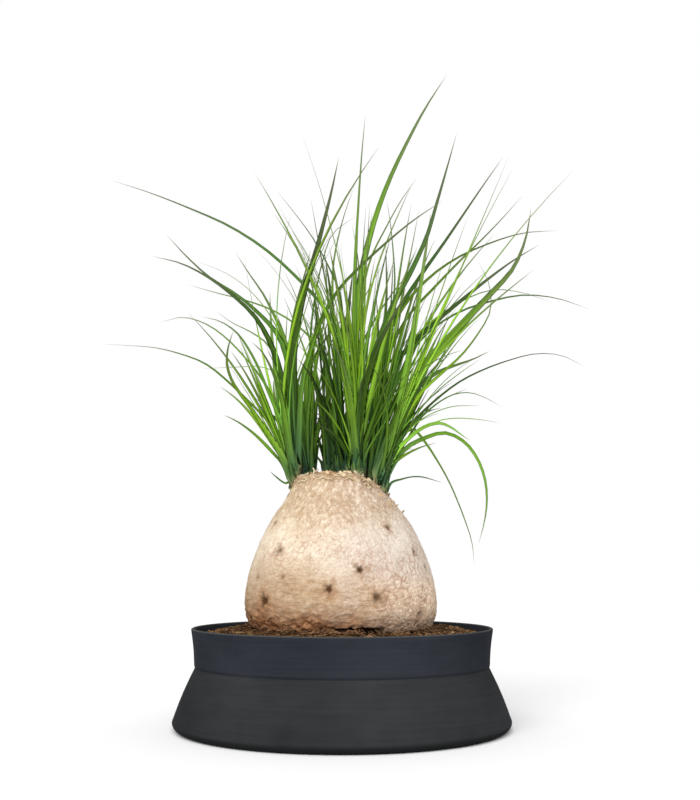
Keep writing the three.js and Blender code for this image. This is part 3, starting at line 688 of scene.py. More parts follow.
# Loose fibres, frayed out of the wood by the saw, lie round the edge of the cut among the scraps.
# They are of the same dry stuff, as thin as thread, and bend with the edge that they lie on.
def thin_strands(line, thickness):
    """Three-sided strands: each point of a line is ringed by three points square to the strand's
    own direction, drawn in towards both ends. Gives the points and the faces."""
    number, steps = line.shape[:2]
    along = unit(np.gradient(line, axis=1))
    aside = unit(np.cross(along, (0.0, 0.0, 1.0)))
    over = np.cross(aside, along)
    ends = np.sqrt(np.clip(1.02 - np.linspace(-1, 1, steps) ** 4, 0.02, 1))[None, :, None, None]
    angle = np.radians((90, 210, 330))[:, None]
    ring = np.cos(angle) * aside[:, :, None] + np.sin(angle) * over[:, :, None]
    points = line[:, :, None] + ring * ends * np.reshape(thickness, (-1, 1, 1, 1)) / 2
    one = np.array(quads_between(steps, 3))[:, ::-1]
    faces = (np.arange(number)[:, None, None] * steps * 3 + one).reshape(-1, 4).tolist()
    start = np.arange(number)[:, None] * steps * 3
    caps = np.concatenate((start + (0, 1, 2), start + (steps - 1) * 3 + (2, 1, 0)))
    return points, faces + caps.tolist()


def strands_piece(name, line, thinnest, thickest, least_tone):
    """A mesh of strands along the lines, their thickness drawn from thinnest to thickest, each
    with a tone drawn from a least value to 1 and kept on its points."""
    number, steps = line.shape[:2]
    points, faces = thin_strands(line, draws.uniform(thinnest, thickest, number))
    piece = set_into_mesh(name, points, faces)
    keep_on_points(piece, "tone", np.repeat(draws.uniform(least_tone, 1, number), steps * 3))
    return piece


rim_fibres, back_fibres = 64, 20
steps = np.linspace(-1, 1, 11)
rim_turn = np.radians(draws.uniform(-178, -2, (rim_fibres, 1)))
rim_turn[-back_fibres:] += np.pi
rim_turn = rim_turn + draws.uniform(0.06, 0.20, (rim_fibres, 1)) * steps
rim_level = draws.uniform(216.5, 222.5, (rim_fibres, 1)) + draws.normal(0, 1.1, (rim_fibres, 1)) * steps
rim_level = rim_level + draws.normal(0, 0.9, (rim_fibres, 1)) * np.sin(2.6 * steps + 9 * rim_turn)
rim_radius = np.interp(rim_level, outline_at[:, 1], outline_at[:, 0]) + 0.5
rim_radius = rim_radius + draws.uniform(0.2, 1.8, (rim_fibres, 1)) * steps**2
rim_line = turned_rings(rim_radius, rim_level + 0.4, rim_turn)
rim_line[..., 0] += trunk_lean[1]
rim_line[..., 2] -= cut_fall(rim_line[..., 0], rim_level)
rim_piece = strands_piece("rim_fibres", rim_line * 0.001, 0.0004, 0.0011, 0.45)
rim_piece.data.materials.append(papery)
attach(rim_piece, "root")
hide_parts("caudex")


# The soil is a coarse mix of coir and bark, mounded towards the trunk and lower by the wall. Its
# top is a lumpy bed with loose flakes and fibres pressed into it.
soil_edge, soil_crest = 0.0808, 0.0868
soil_wall_radius, soil_crest_radius, under_trunk_radius = 0.1298, 0.094, 0.062
soil_floor = 0.0062
soil_sides, soil_top_rings = 320, 62


def soil_height(radius, turn):
    """Height of the soil's top: low by the wall, rising in a smooth step to the crest, with lumps
    of three sizes that die out at the wall, and a dip before the hollow in the trunk's foot."""
    share = 1 - smooth_share(radius, soil_crest_radius, soil_wall_radius)
    place = np.stack((radius * np.cos(turn), radius * np.sin(turn), 0 * radius * turn), -1)
    rough = 0.0009 * lumps(place, 0.0140, 71) + 0.0007 * lumps(place, 0.0050, 72)
    rough = rough + 0.0005 * lumps(place, 0.0022, 73)
    dip = np.exp(-(((place[..., 0] - 0.024) / 0.014) ** 2) - (((place[..., 1] + 0.084) / 0.009) ** 2))
    height = soil_edge + (soil_crest - soil_edge) * share + rough * (0.35 + 0.65 * share)
    return height - 0.0030 * dip


turn = np.linspace(0, 2 * np.pi, soil_sides, endpoint=False)
soil_side = np.array((
    (0.020, soil_floor), (0.1405, soil_floor), (0.1440, 0.0125), (0.1265, 0.0530),
    (soil_wall_radius, soil_edge - 0.001),
))
side_rings = turned_rings(soil_side[:, :1], soil_side[:, 1:], turn)
top_radii = np.linspace(soil_wall_radius, under_trunk_radius, soil_top_rings)[:, None]
top_rings = turned_rings(top_radii, soil_height(top_radii, turn + 0 * top_radii), turn)
soil_rings = np.concatenate((side_rings, top_rings))
soil = closed_rings("soil_bed", soil_rings, (0, 0, soil_floor), (0, 0, soil_crest))

# flakes: boxes with wobbly corners, strewn evenly over the ring of open soil, tilted a little
flakes = 7600
flake_radius = np.sqrt(draws.uniform(0.078**2, 0.1285**2, flakes))
flake_turn = draws.uniform(0, 2 * np.pi, flakes)
flake_size = 0.00045 * draws.lognormal(0.0, 0.5, (flakes, 1)) * (2.7, 1.05, 0.38)
flake_centre = turned_rings(flake_radius, soil_height(flake_radius, flake_turn), flake_turn)
flake_centre[:, 2] += 0.0002
flake_top = unit(draws.normal(0, 0.24, (flakes, 3)) + (0, 0, 1))
flake_along = unit(np.cross(flake_top, draws.normal(size=(flakes, 3))))
flake_axes = np.stack((flake_along, np.cross(flake_top, flake_along), flake_top), 1)
corner_signs = np.array([(x, y, z) for z in (-1, 1) for x, y in ((-1, -1), (1, -1), (1, 1), (-1, 1))])
wobble = draws.uniform(0.45, 1.15, (flakes, 8, 1))
flake_points = flake_centre[:, None] + np.einsum(
    "nck,nka->nca", corner_signs * flake_size[:, None] * wobble, flake_axes
)
box_sides = ((0, 3, 2, 1), (4, 5, 6, 7), (0, 1, 5, 4), (1, 2, 6, 5), (2, 3, 7, 6), (3, 0, 4, 7))
flake_faces = (np.arange(flakes)[:, None, None] * 8 + box_sides).reshape(-1, 4)
flake_piece = set_into_mesh("soil_chips", flake_points, flake_faces.tolist())
flake_piece.data.shade_flat()
keep_on_points(flake_piece, "tone", np.repeat(draws.uniform(0, 1, flakes) ** 1.3, 8))

# fibres: bowed strands that lie on the bed's top, their middles lifted off it
fibres = 560
steps = np.linspace(-1, 1, 7)
fibre_radius = np.sqrt(draws.uniform(0.084**2, 0.127**2, (fibres, 1)))
fibre_turn, heading = draws.uniform(0, 2 * np.pi, (2, fibres, 1))
half = draws.uniform(0.0020, 0.0065, (fibres, 1))
bow = draws.normal(0, 0.0016, (fibres, 1)) * steps**2
fibre_x = fibre_radius * np.cos(fibre_turn) + half * steps * np.cos(heading) - bow * np.sin(heading)
fibre_y = fibre_radius * np.sin(fibre_turn) + half * steps * np.sin(heading) + bow * np.cos(heading)
reach = np.hypot(fibre_x, fibre_y)
fibre_x, fibre_y = (value * np.minimum(reach, 0.1285) / reach for value in (fibre_x, fibre_y))
fibre_z = soil_height(np.hypot(fibre_x, fibre_y), np.arctan2(fibre_y, fibre_x)) + 0.0004
fibre_z = fibre_z + draws.uniform(0, 0.0007, (fibres, 1)) * (1 - steps**2)
fibre_line = np.stack((fibre_x, fibre_y, fibre_z), -1)
fibre_piece = strands_piece("soil_fibres", fibre_line, 0.0002, 0.0005, 0.3)


def painted_shade_by_trunk(tree, place, tint):
    """A soil colour darkened as painted shade where it lies near the trunk, by the distance from the
    upright axis with a coarse noise added."""
    level_place = squeezed(tree, place, (1.0, 1.0, 0.0))
    away = add_node(tree, "VectorMath", {"operation": "LENGTH"}, Vector=level_place).outputs["Value"]
    uneven = add_node(tree, "TexNoise", Vector=place, Scale=60.0).outputs["Fac"]
    painted_trunk_shade = ranged(tree, worked_out(tree, "MULTIPLY_ADD", uneven, 0.020, away), 0.094, 0.116, 1.0, 0.0)
    return blended(tree, "MULTIPLY", painted_trunk_shade, tint, (0.30, 0.26, 0.24))


earth, tree, shader = new_material("coir_soil", 0.95, 0.06)
place = add_node(tree, "TexCoord").outputs["Object"]
crumbs = mottled(tree, place, 210.0, 0.5, 3.0)
crumb_tint = colour_ramp(tree, crumbs, (
    (0.0, (0.012, 0.005, 0.002)), (0.42, (0.050, 0.022, 0.008)), (0.75, (0.115, 0.056, 0.022)),
    (1.0, (0.20, 0.115, 0.055)),
))
tree.links.new(painted_shade_by_trunk(tree, place, crumb_tint), shader.inputs["Base Color"])
raised(tree, shader, crumbs, 0.8, 0.0012)

flake_paint, tree, shader = new_material("bark_chips", 0.9, 0.10)
place = add_node(tree, "TexCoord").outputs["Object"]
flake_grain = mottled(tree, place, 600.0, 0.5, 1.6)
flake_tint = colour_ramp(tree, read_points(tree, "tone"), (
    (0.0, (0.020, 0.009, 0.004)), (0.45, (0.110, 0.055, 0.022)), (0.82, (0.250, 0.138, 0.062)),
    (1.0, (0.36, 0.225, 0.115)),
))
flake_tint = shaded(tree, flake_tint, flake_grain, ((0.0, (0.6, 0.6, 0.6)), (1.0, (1.2, 1.2, 1.2))))
tree.links.new(painted_shade_by_trunk(tree, place, flake_tint), shader.inputs["Base Color"])
raised(tree, shader, flake_grain, 0.4, 0.0003)
for piece, paint in ((soil, earth), (flake_piece, flake_paint), (fibre_piece, flake_paint)):
    piece.data.materials.append(paint)
    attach(piece, "root")
    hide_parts("soil")


# Rootlets run from the trunk's foot into the soil, bare and pale where the soil has washed off.
# Each is a thin strand that leaves the bark, dips and creeps outward along the top of the soil.
rootlets, front_rootlets = 190, 70
steps = np.linspace(0, 1, 9)
root_turn = draws.uniform(0, 2 * np.pi, (rootlets, 1))
root_turn[:front_rootlets] = math.radians(-97) + draws.normal(0, 0.17, (front_rootlets, 1))
root_turn = root_turn + draws.normal(0, 0.05, (rootlets, 1)) * steps
root_turn = root_turn + draws.normal(0, 0.02, (rootlets, len(steps)))
root_reach = 0.0825 + draws.uniform(0.004, 0.016, (rootlets, 1)) * steps
root_x, root_y = root_reach * np.cos(root_turn) - 0.002, root_reach * np.sin(root_turn)
root_fall = draws.uniform(0.0005, 0.0050, (rootlets, 1)) * (1 - steps) ** 2
root_z = soil_height(np.hypot(root_x, root_y), np.arctan2(root_y, root_x)) + root_fall
root_z = root_z + 0.0005 * np.sin(6 * steps + 9 * root_turn)
root_line = np.stack((root_x, root_y, root_z), -1)
root_piece = strands_piece("foot_rootlets", root_line, 0.0005, 0.0014, 0)

root_paint, tree, shader = new_material("pale_rootlets", 0.85, 0.12)
place = add_node(tree, "TexCoord").outputs["Object"]
root_grain = mottled(tree, place, 500.0, 0.5, 2.0)
root_tint = colour_ramp(tree, read_points(tree, "tone"), (
    (0.0, (0.060, 0.024, 0.010)), (1.0, (0.37, 0.205, 0.105)),
))
root_tint = shaded(tree, root_tint, root_grain, ((0.0, (0.65, 0.62, 0.58)), (1.0, (1.1, 1.1, 1.1))))
tree.links.new(root_tint, shader.inputs["Base Color"])
raised(tree, shader, root_grain, 0.4, 0.0003)
root_piece.data.materials.append(root_paint)
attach(root_piece, "root")
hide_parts("caudex")


# Seven heads of strap leaves stand round the cut. Each leaf clasps its head with a broad foot,
# rises, opens and bends over: thin, channelled along its middle, then drawn out to a fine tip.
line_steps = 48
shares = np.linspace(0, 1, line_steps + 1)
golden_angle = math.radians(137.5)
stump_radius, stump_height = 6.0, 45
foot_sunk = 1.6
crowded_steps = 12

# where each head meets the trunk, how its axis leans, its leaves beside the long ones, the broad
# outer ones round its foot, the finer ones that fill it, and the seed of its draws
heads = {
    "left": ((-43, -9, 218), (-0.3, -0.08), 17, 0, 9, 11),
    "back_left": ((-29, 19, 222.5), (-0.16, 0.2), 14, 2, 4, 23),
    "back": ((-11, 29, 223), (-0.06, 0.3), 19, 6, 16, 39),
    "middle": ((1, 11, 225.5), (0, 0.06), 20, 7, 17, 41),
    "centre": ((12.5, -9, 225.5), (0.05, -0.12), 18, 8, 28, 59),
    "right_back": ((25.5, 9, 222.5), (0.16, 0.1), 20, 5, 18, 67),
    "right": ((35, -9, 218), (0.3, -0.1), 16, 2, 12, 83),
}

# the longest leaves: width, turn of the face, depth of the tip, and the course seen from the
# front, as x and z in the upright plane through the origin, in millimetres
long_leaves = {
    "left": (
        (8.5, 10, -34, (
            (-45, 250), (-46, 343), (-42, 370), (-38, 392), (-24, 442), (-9, 504), (-3.7, 531),
        )),
        (6, 30, -18, ((-49, 270), (-51, 330), (-44.5, 382), (-38, 405), (-30, 440))),
        (5, 30, -62, ((-40, 270), (-36, 320), (-15.5, 381), (10, 415.6), (59, 461), (97, 488))),
        (4.5, 40, -62, ((-56, 268), (-72, 309), (-107, 351), (-135, 370), (-152, 373), (-172, 368))),
        (4.5, 45, -28, ((-55, 255), (-71.6, 277), (-120, 323), (-149, 337), (-176, 344), (-226, 347.5))),
        (6, 35, -78, ((-56, 243), (-83, 283), (-103, 312), (-108.5, 336), (-102, 361.5))),
        (7, 30, -50, ((-52, 262), (-58.6, 321), (-80, 370), (-118, 405), (-150, 424), (-181, 432.5))),
        (6.5, 30, -32, ((-46, 260), (-54, 341.6), (-88, 385), (-125, 411), (-150, 434), (-168, 454))),
        (3.5, 45, 2, ((-47, 270), (-50, 335), (-76, 386), (-100, 409), (-127.6, 424.5), (-138, 427))),
        (5.5, 25, -20, ((-45, 265), (-48, 330), (-69, 384.5), (-89.6, 417), (-101.5, 436))),
        (3.2, 60, -52, ((-51, 280), (-58, 313), (-72, 325), (-100, 325.5), (-131, 324))),
        (4.5, 35, -88, ((-53, 262), (-69, 301), (-85, 337.4), (-106, 364.6), (-134, 374))),
        (5, 20, -150, ((-50, 258), (-58, 300), (-72, 335), (-86, 350))),
        (3.5, 40, -8, ((-50, 280), (-57, 318), (-74, 351.5), (-99, 364.6), (-120, 380))),
        (2.6, 30, -14, ((-52.5, 217), (-61, 223), (-67, 228.5))),
    ),
    "back_left": (
        (3.2, 30, 34, ((-30, 255), (-31, 310), (-28, 380), (-12, 449.6), (12, 471))),
        (5, 35, 150, ((-31, 255), (-40, 300), (-52, 345), (-62, 376))),
    ),
    "back": (
        (3.6, 30, 78, ((-10, 262), (-8, 320), (-9.6, 398), (-8, 431), (0.6, 470), (12, 504))),
        (5, 30, 180, ((-12, 262), (-16, 320), (-26, 390), (-36, 430))),
        (4.6, 35, 205, ((-10, 262), (-6, 320), (2, 370), (8, 388))),
    ),
    "middle": (
        (3.6, 30, 34, ((-1, 270), (-2, 340), (-2.6, 394.7), (-29, 451), (-50, 480), (-64, 498))),
        (4.2, 40, 6, ((-5, 262), (-14, 325), (-37, 360), (-74, 383.5), (-117, 396), (-147, 405))),
    ),
    "centre": (
        (8, 15, 30, ((13.5, 270), (12, 356), (16, 405), (27, 457), (45, 509), (76, 573), (101, 614))),
        (7, 20, -32, ((17, 270), (24, 320), (47, 384.6), (75, 438.5), (94, 499), (110, 555))),
        (4.6, 25, 8, ((10, 270), (10.5, 400), (14.4, 475), (18, 530), (22, 575))),
        (5.6, 20, 4, (
            (11, 262), (9, 322), (-10, 370), (-38, 406), (-100, 457.5), (-205, 503), (-224, 508),
        )),
        (4, 35, -20, ((12, 262), (13, 350), (22, 415), (34, 446), (55, 486), (72, 511))),
        (3.6, 35, -44, ((14, 262), (18, 350), (28, 405.6), (44, 452), (67, 505))),
        (9, 10, -34, ((9, 262), (4, 320), (4, 365), (10, 420))),
        (8, 15, -120, ((15, 258), (22, 310), (35, 350), (60, 396))),
        (6.5, 20, -160, ((11, 258), (7, 300), (-2, 335), (-14, 352))),
    ),
    "right_back": (
        (7, 25, 22, ((27, 262), (33, 342), (62, 395.7), (96.5, 446), (140.6, 511.3), (154.5, 531))),
        (4, 30, 72, ((29, 262), (50, 355), (96.4, 412.4), (142.5, 459), (172.6, 493))),
        (4.6, 40, 46, ((28, 262), (42, 355), (82.4, 412.4), (127.5, 440), (173.6, 455.6), (205, 457.5))),
        (6.5, 30, 28, ((32, 262), (49, 328), (86, 367.4), (119, 395.4), (157, 425), (187, 443.8))),
        (4.5, 45, 4, ((35, 262), (58, 330), (92, 368.3), (137, 388), (186, 394.8), (233, 380.6))),
        (2.8, 45, 92, ((31, 262), (60, 345), (120, 393), (159, 399), (197, 387.4))),
        (4, 35, 36, ((28, 262), (40, 345), (49, 400), (46, 458.5), (42, 489))),
        (6, 30, 20, ((26, 262), (34, 340), (41, 385.6), (41, 446))),
        (5, 30, 175, ((28, 262), (38, 305), (54, 342), (68, 360))),
    ),
    "right": (
        (9.5, 15, -34, (
            (44, 262), (70.5, 319), (107.4, 361.3), (143.6, 400.4), (168.6, 432.7), (180, 481),
        )),
        (4.5, 40, -58, ((45, 256), (64, 306), (110, 358), (147, 391.7), (182, 420))),
        (4, 40, -84, ((46, 250), (70, 298), (112.6, 338.8), (138.4, 378), (138.4, 405), (128, 428))),
        (6.5, 35, -16, ((44, 252), (57.7, 291), (86.4, 319.4), (118.7, 331.7), (138, 341))),
        (4.5, 40, 8, (
            (44, 246), (69.5, 278.6), (111.4, 313.3), (161.6, 334), (197.4, 338.5), (227, 325.5),
        )),
        (3.6, 45, -48, ((47, 256), (81.6, 296.5), (105.5, 317), (130, 334))),
        (3.6, 50, -34, ((46, 248), (66, 272), (96.5, 297), (122, 301), (148, 288))),
        (3, 50, -70, ((48, 250), (71, 275), (100, 288), (129, 289))),
        (2.6, 50, 4, ((45, 240), (66, 262), (92, 276), (120, 277), (146, 273))),
        (4.6, 35, -48, (
            (43, 232), (59, 249.8), (90, 264), (112, 256.5), (129, 230), (132.4, 195), (124, 161),
        )),
        (3, 45, -64, (
            (46, 242), (57, 262), (65, 268), (79.6, 250.9), (99.4, 216.3), (117, 168.5), (120, 143),
        )),
        (2.4, 50, -12, ((42.5, 217), (52, 220.5), (70, 223.5), (93, 217.4))),
        (4, 40, -20, ((42, 230), (53.7, 240.8), (70.6, 249.8), (87, 254.5))),
        (5.2, 30, -80, ((44, 236), (54, 252), (73, 268), (93, 272.5), (118, 256.5))),
    ),
}


def between(pair, share):
    """The value at a share of the way from the first of a pair to the second."""
    return pair[0] + (pair[1] - pair[0]) * share


def repeatable_draws(seed):
    """Draws from 0 to 1 by a linear congruence on 32 bits, the same on each run."""
    state = seed
    while True:
        state = (state * 1664525 + 1013904223) & 0xFFFFFFFF
        yield state / 4294967296


def half_widths(width, share):
    """Half of a blade's width: a clasp that dies out from the base, times a taper to the tip."""
    clasp = 1 + 0.3 * np.exp(-16 * share)
    return 0.5 * width * clasp * np.maximum(1 - share**1.9, 0) ** 0.85


def smooth_course(points):
    """Twelve steps a span of the Catmull-Rom curve through the points, its ends run on straight,
    then the same curve cut into equal steps of its length."""
    ends = (2 * points[0] - points[1], 2 * points[-1] - points[-2])
    p = np.concatenate(((ends[0],), points, (ends[1],)))
    u = (np.arange(12) / 12)[None, :, None]
    p0, p1, p2, p3 = (p[k : len(p) - 3 + k, None] for k in range(4))
    course = (
        p0 * (-0.5 * u**3 + u**2 - 0.5 * u)
        + p1 * (1.5 * u**3 - 2.5 * u**2 + 1)
        + p2 * (-1.5 * u**3 + 2 * u**2 + 0.5 * u)
        + p3 * (0.5 * u**3 - 0.5 * u**2)
    ).reshape(-1, 3)
    course = np.concatenate((course, points[-1:]))
    run = run_along(course)
    wanted = np.linspace(0, run[-1], line_steps + 1)
    return np.stack([np.interp(wanted, run, course[:, axis]) for axis in range(3)], -1)


def head_axis(name):
    """Where a head meets the trunk, and the unit vector that its axis leans along."""
    at, lean = heads[name][:2]
    axis = np.array((*lean, 1.0))
    return np.array(at, float), axis / np.linalg.norm(axis)


def seen_at(x, z, y):
    """Points seen at x and z in the front plane, moved along their sight lines to depths y."""
    sight = eye * 1000
    reach = (y - sight[1]) / -sight[1]
    return np.stack((sight[0] + (x - sight[0]) * reach, y, sight[2] + (z - sight[2]) * reach), -1)


def make_leaf(line, width, facing, twist, rank):
    """A leaf as its line, its width and the half widths along the line, the way its face looks and
    how far it is twisted, and how far in on its head it stands, from 0 outside to 1 inside."""
    return {
        "line": line, "width": width, "reach": half_widths(width, shares), "facing": facing,
        "twist": twist, "rank": rank,
    }


def long_leaf(name, entry):
    """A leaf along its seen course, its depth going from the head's to the tip's by the share of
    the run to the power of 1.2."""
    width, twist, depth, course = entry
    at, axis = head_axis(name)
    course = np.array(course, float)
    start = at + axis * (1 if course[0, 1] < at[2] + 4 else 5)
    runs = np.hypot(*(course[0] - start[[0, 2]])) + run_along(course)
    depths = between((at[1], depth), (runs / runs[-1]) ** 1.2)
    points = np.concatenate(((start,), seen_at(course[:, 0], course[:, 1], depths)))
    return make_leaf(smooth_course(points), width, np.array((0.0, -1.0, 0.0)), twist, 0.45)


def fill_leaf(name, rank, azimuth, draw, ease):
    """A leaf that leaves its head at an opening angle and bends further by the share of its length
    to the power of 1.5, while its heading curls and the head's lean dies out."""
    at, axis = head_axis(name)
    lean = np.array((*heads[name][1], 0.0))
    opening = math.radians(between((26, 5), rank) * between((0.8, 1.25), next(draw)) * ease)
    bend = math.radians(between((62, 16), rank) * between((0.55, 1.3), next(draw)) * ease)
    stretch = 1 + 0.5 * (abs(math.sin(azimuth)) - 0.5)
    length = between((112, 176), rank) * between((0.75, 1.22), next(draw)) * stretch
    width = between((5.4, 7.2), rank) * between((0.7, 1.2), next(draw))
    curl = math.radians(between((-38, 38), next(draw)))
    twist = between((-70, 70), next(draw))
    out = np.array((math.cos(azimuth), math.sin(azimuth), 0.0))
    start = at + axis * (4 + 16 * rank) + out * between((3.6, 1), rank)
    share = ((np.arange(line_steps) + 0.5) / line_steps)[:, None]
    tilt = opening + bend * share**1.5
    heading = azimuth + curl * share
    step = turned_rings(np.sin(tilt), np.cos(tilt), heading)[:, 0]
    step = (step + 0.8 * lean * (1 - share)) * length / line_steps
    line = np.concatenate(((start,), start + np.cumsum(step, axis=0)))
    return make_leaf(line, width, -out, twist, rank)


def stump_line(name):
    """A head's stump as a short leaf a little wider than it, for other heads' leaves to pass by."""
    at, axis = head_axis(name)
    line = at + axis * np.linspace(0, stump_height, line_steps + 1)[:, None]
    return make_leaf(line, 2.3 * stump_radius, axis, 0, 0)


def crosses(leaf, others, same_head, first):
    """Whether a leaf comes nearer to any other than both half widths ask, by the distances of all
    their points from the first counted one on. Leaves whose boxes lie apart are passed over."""
    margin = 12
    near = [o for o in others if np.all(leaf["line"].min(0) - margin < o["line"].max(0))
            and np.all(leaf["line"].max(0) + margin > o["line"].min(0))]
    if not near:
        return False
    lines = np.stack([o["line"][first:] for o in near])
    both = leaf["reach"][first:, None] + np.stack([o["reach"][first:] for o in near])[:, None]
    keep = 0.75 * both + 0.6 if same_head else np.maximum(both + 1.8, 3.2)
    apart = ((leaf["line"][first:, None] - lines[:, None]) ** 2).sum(-1)
    return bool(np.any(apart < keep**2))


def grow_leaves():
    """All leaves by head: the long ones first, then in rounds one leaf a head, its azimuth a golden
    angle on from the last, tried again further round until it crosses nothing. The broad outer
    ones and the finer ones follow by the same rule, which only other heads' leaves turn away."""
    grown = {name: [long_leaf(name, entry) for entry in long_leaves[name]] for name in heads}
    draw = {name: repeatable_draws(heads[name][5]) for name in heads}
    tries, further_round = 14, 0.9
    # where in heads the number a head stands, the first and the last leaf's rank, the turn of the
    # first, and the shares of the width and of the length
    rounds = (
        (2, 0.0, 1.0, 0.0, 1.0, 1.0), (3, 0.0, 0.35, 1.3, 1.0, 0.66), (4, 0.55, 1.0, 0.5, 0.56, 1.16),
    )
    for column, lowest, highest, first_turn, wider, longer in rounds:
        for k in range(max(head[column] for head in heads.values())):
            for name, head in heads.items():
                if k >= head[column]:
                    continue
                rest = [o for n in heads if n != name for o in (*grown[n], stump_line(n))]
                rank = between((lowest, highest), k / (head[column] - 1))
                for t in range(tries):
                    azimuth = head[5] + k * golden_angle + t * further_round + first_turn
                    leaf = fill_leaf(name, rank, azimuth, draw[name], 1 - t / (1.6 * tries))
                    if column > 2:
                        start = leaf["line"][0]
                        from_start = leaf["line"] - start
                        aside = np.cross(leaf["facing"], (0, 0, 1))
                        stray = between((-0.5, 0.5), next(draw[name])) * aside
                        run = shares[:, None] ** 1.7 * from_start[-1, 2]
                        leaf["line"] = start + from_start * longer + stray * run
                        leaf["reach"] = leaf["reach"] * wider
                    clear = not crosses(leaf, rest, False, 0)
                    if clear and (column > 2 or not crosses(leaf, grown[name], True, crowded_steps)):
                        leaf["round"] = column
                        grown[name].append(leaf)
                        break
    return grown


def bark_height(place):
    """Height of the trunk's skin under places on its top, by the outline's radius about the lean's
    upper end, less the cut's fall to the right."""
    shoulder = 150
    upper = outline_at[outline_at[:, 1] > shoulder][::-1]
    reach = np.hypot(place[..., 0] - trunk_lean[1], place[..., 1])
    height = np.interp(reach, upper[:, 0], upper[:, 1])
    return height - cut_fall(place[..., 0], height)


def rooted(name, leaf):
    """The same leaf with its foot led down the outside of its head onto the bark, and its lowest
    part widened there by a bell curve of its share, more so on the broad outer ones. Leaves of
    the first round are slimmed past their foot by their rank. A low long leaf counts as old."""
    at, axis = head_axis(name)
    line = leaf["line"]
    out = -leaf["facing"]
    low_leaf = "round" not in leaf and line[4, 2] < at[2] + 8
    if "round" not in leaf:
        start = 2 if low_leaf else 6
        away = line[start] - at - axis * np.dot(line[start] - at, axis)
        away[2] = 0
        out = away / max(np.linalg.norm(away), 0.5)
    broad = leaf.get("round") == 3
    foot_reach = 4.4 if broad or low_leaf else between((4.0, 1.6), leaf["rank"])
    foot = at + out * foot_reach
    foot[2] = bark_height(foot) - foot_sunk
    if low_leaf:
        points = np.concatenate(((foot,), line[8::8]))
    else:
        rise = 7 if broad else 4 + 11 * leaf["rank"]
        waist_at = at + axis * rise + out * (8.0 if broad else between((6.6, 2.4), leaf["rank"]))
        points = np.concatenate(((foot, waist_at), line[8::5]))
    wider, over = (1.1, 0.20) if broad else (0.26 if at[1] < 0 else 0.0, 0.14)
    flare = (1 + wider * bell(shares, over)) * (1 - 0.55 * bell(shares, 0.022))
    if leaf.get("round") == 2:
        flare *= 1 - between((0.34, 0.08), leaf["rank"]) * smooth_share(shares, 0.06, 0.30)
    return {**leaf, "line": smooth_course(points), "reach": leaf["reach"] * flare, "old": low_leaf}


def blade_surfaces(leaves, stride):
    """All blades of a set as arrays. At each station, a stride apart, a ring of six points: five
    across the upper face, its edges lifted to a channel, and one below the middle. The face looks
    the given way, square to the line, turned by the twist over the blade's first half and swayed
    a little by a sine. Gives the points of the rings and each point's place on its leaf."""
    picked = np.arange(0, line_steps + 1, stride)
    line, reach, facing, twist, tone = (
        np.stack([leaf[part] for leaf in leaves])
        for part in ("line", "reach", "facing", "twist", "tone")
    )
    line, reach, facing = line[:, picked], reach[:, picked], facing[:, None]
    share = (picked / line_steps)[None, :]
    along = unit(np.gradient(line, axis=1))
    face = unit(facing - along * (facing * along).sum(-1, keepdims=True))
    twist = np.radians(twist)[:, None] * np.minimum(2 * share, 1)
    twist = (twist + 0.16 * np.sin(9 * share + 40 * tone[:, None]))[..., None]
    face = face * np.cos(twist) + np.cross(along, face) * np.sin(twist)
    across = np.cross(along, face)
    lateral = np.array((-1, -0.52, 0, 0.52, 1, 0))
    lift = np.array((0.40, 0.14, -0.04, 0.14, 0.40, -0.04))
    thick = np.array((0, 0, 0, 0, 0, 0.55))
    ends = np.clip(1.1 - share, 0.15, 1)[..., None]
    offset = lateral * reach[..., None]
    rise = lift * reach[..., None] * np.clip(1.25 - share, 0, 1)[..., None] - thick * ends
    rings = line[:, :, None] + offset[..., None] * across[:, :, None]
    rings = rings + rise[..., None] * face[:, :, None]
    place = np.stack(np.broadcast_arrays((lateral + 1) / 2, share[..., None]), -1)
    return rings, np.broadcast_to(place, (*rings.shape[:3], 2))


def blades_piece(name, leaves, stride):
    """One mesh of a set of blades: quads between their rings, a cap at each base, a fan to
    each tip, with a UV map that runs across and along each leaf and a tone kept on its points."""
    rings, place = blade_surfaces(leaves, stride)
    number, stations, sides = rings.shape[:3]
    rings, place = rings[:, :-1], place[:, :-1]
    stations -= 1
    tips = np.stack([leaf["line"][-1] for leaf in leaves])
    size = stations * sides
    start = np.arange(number)[:, None, None] * size
    faces = (start + np.array(quads_between(stations, sides))).reshape(-1, 4).tolist()
    faces += (start[:, 0] + np.arange(sides)[::-1]).tolist()
    round_tip = np.arange(sides) + size - sides
    fan = np.stack((round_tip, np.roll(round_tip, -1)), -1) + start
    tip_index = np.broadcast_to((number * size + np.arange(number))[:, None, None], (number, sides, 1))
    faces += np.concatenate((fan, tip_index), -1).reshape(-1, 3).tolist()
    points = np.concatenate((rings.reshape(-1, 3), tips)) * 0.001
    piece = set_into_mesh(name, points, faces)
    uv = np.concatenate((place.reshape(-1, 2), np.full((number, 2), (0.5, 1.0))))
    corners = np.zeros(len(piece.data.loops), np.int32)
    piece.data.loops.foreach_get("vertex_index", corners)
    piece.data.uv_layers.new(name="leaf").data.foreach_set("uv", uv[corners].ravel())
    leaf_tones = np.array([leaf["tone"] for leaf in leaves])
    keep_on_points(piece, "tone", np.concatenate((np.repeat(leaf_tones, size), leaf_tones)))
    return piece


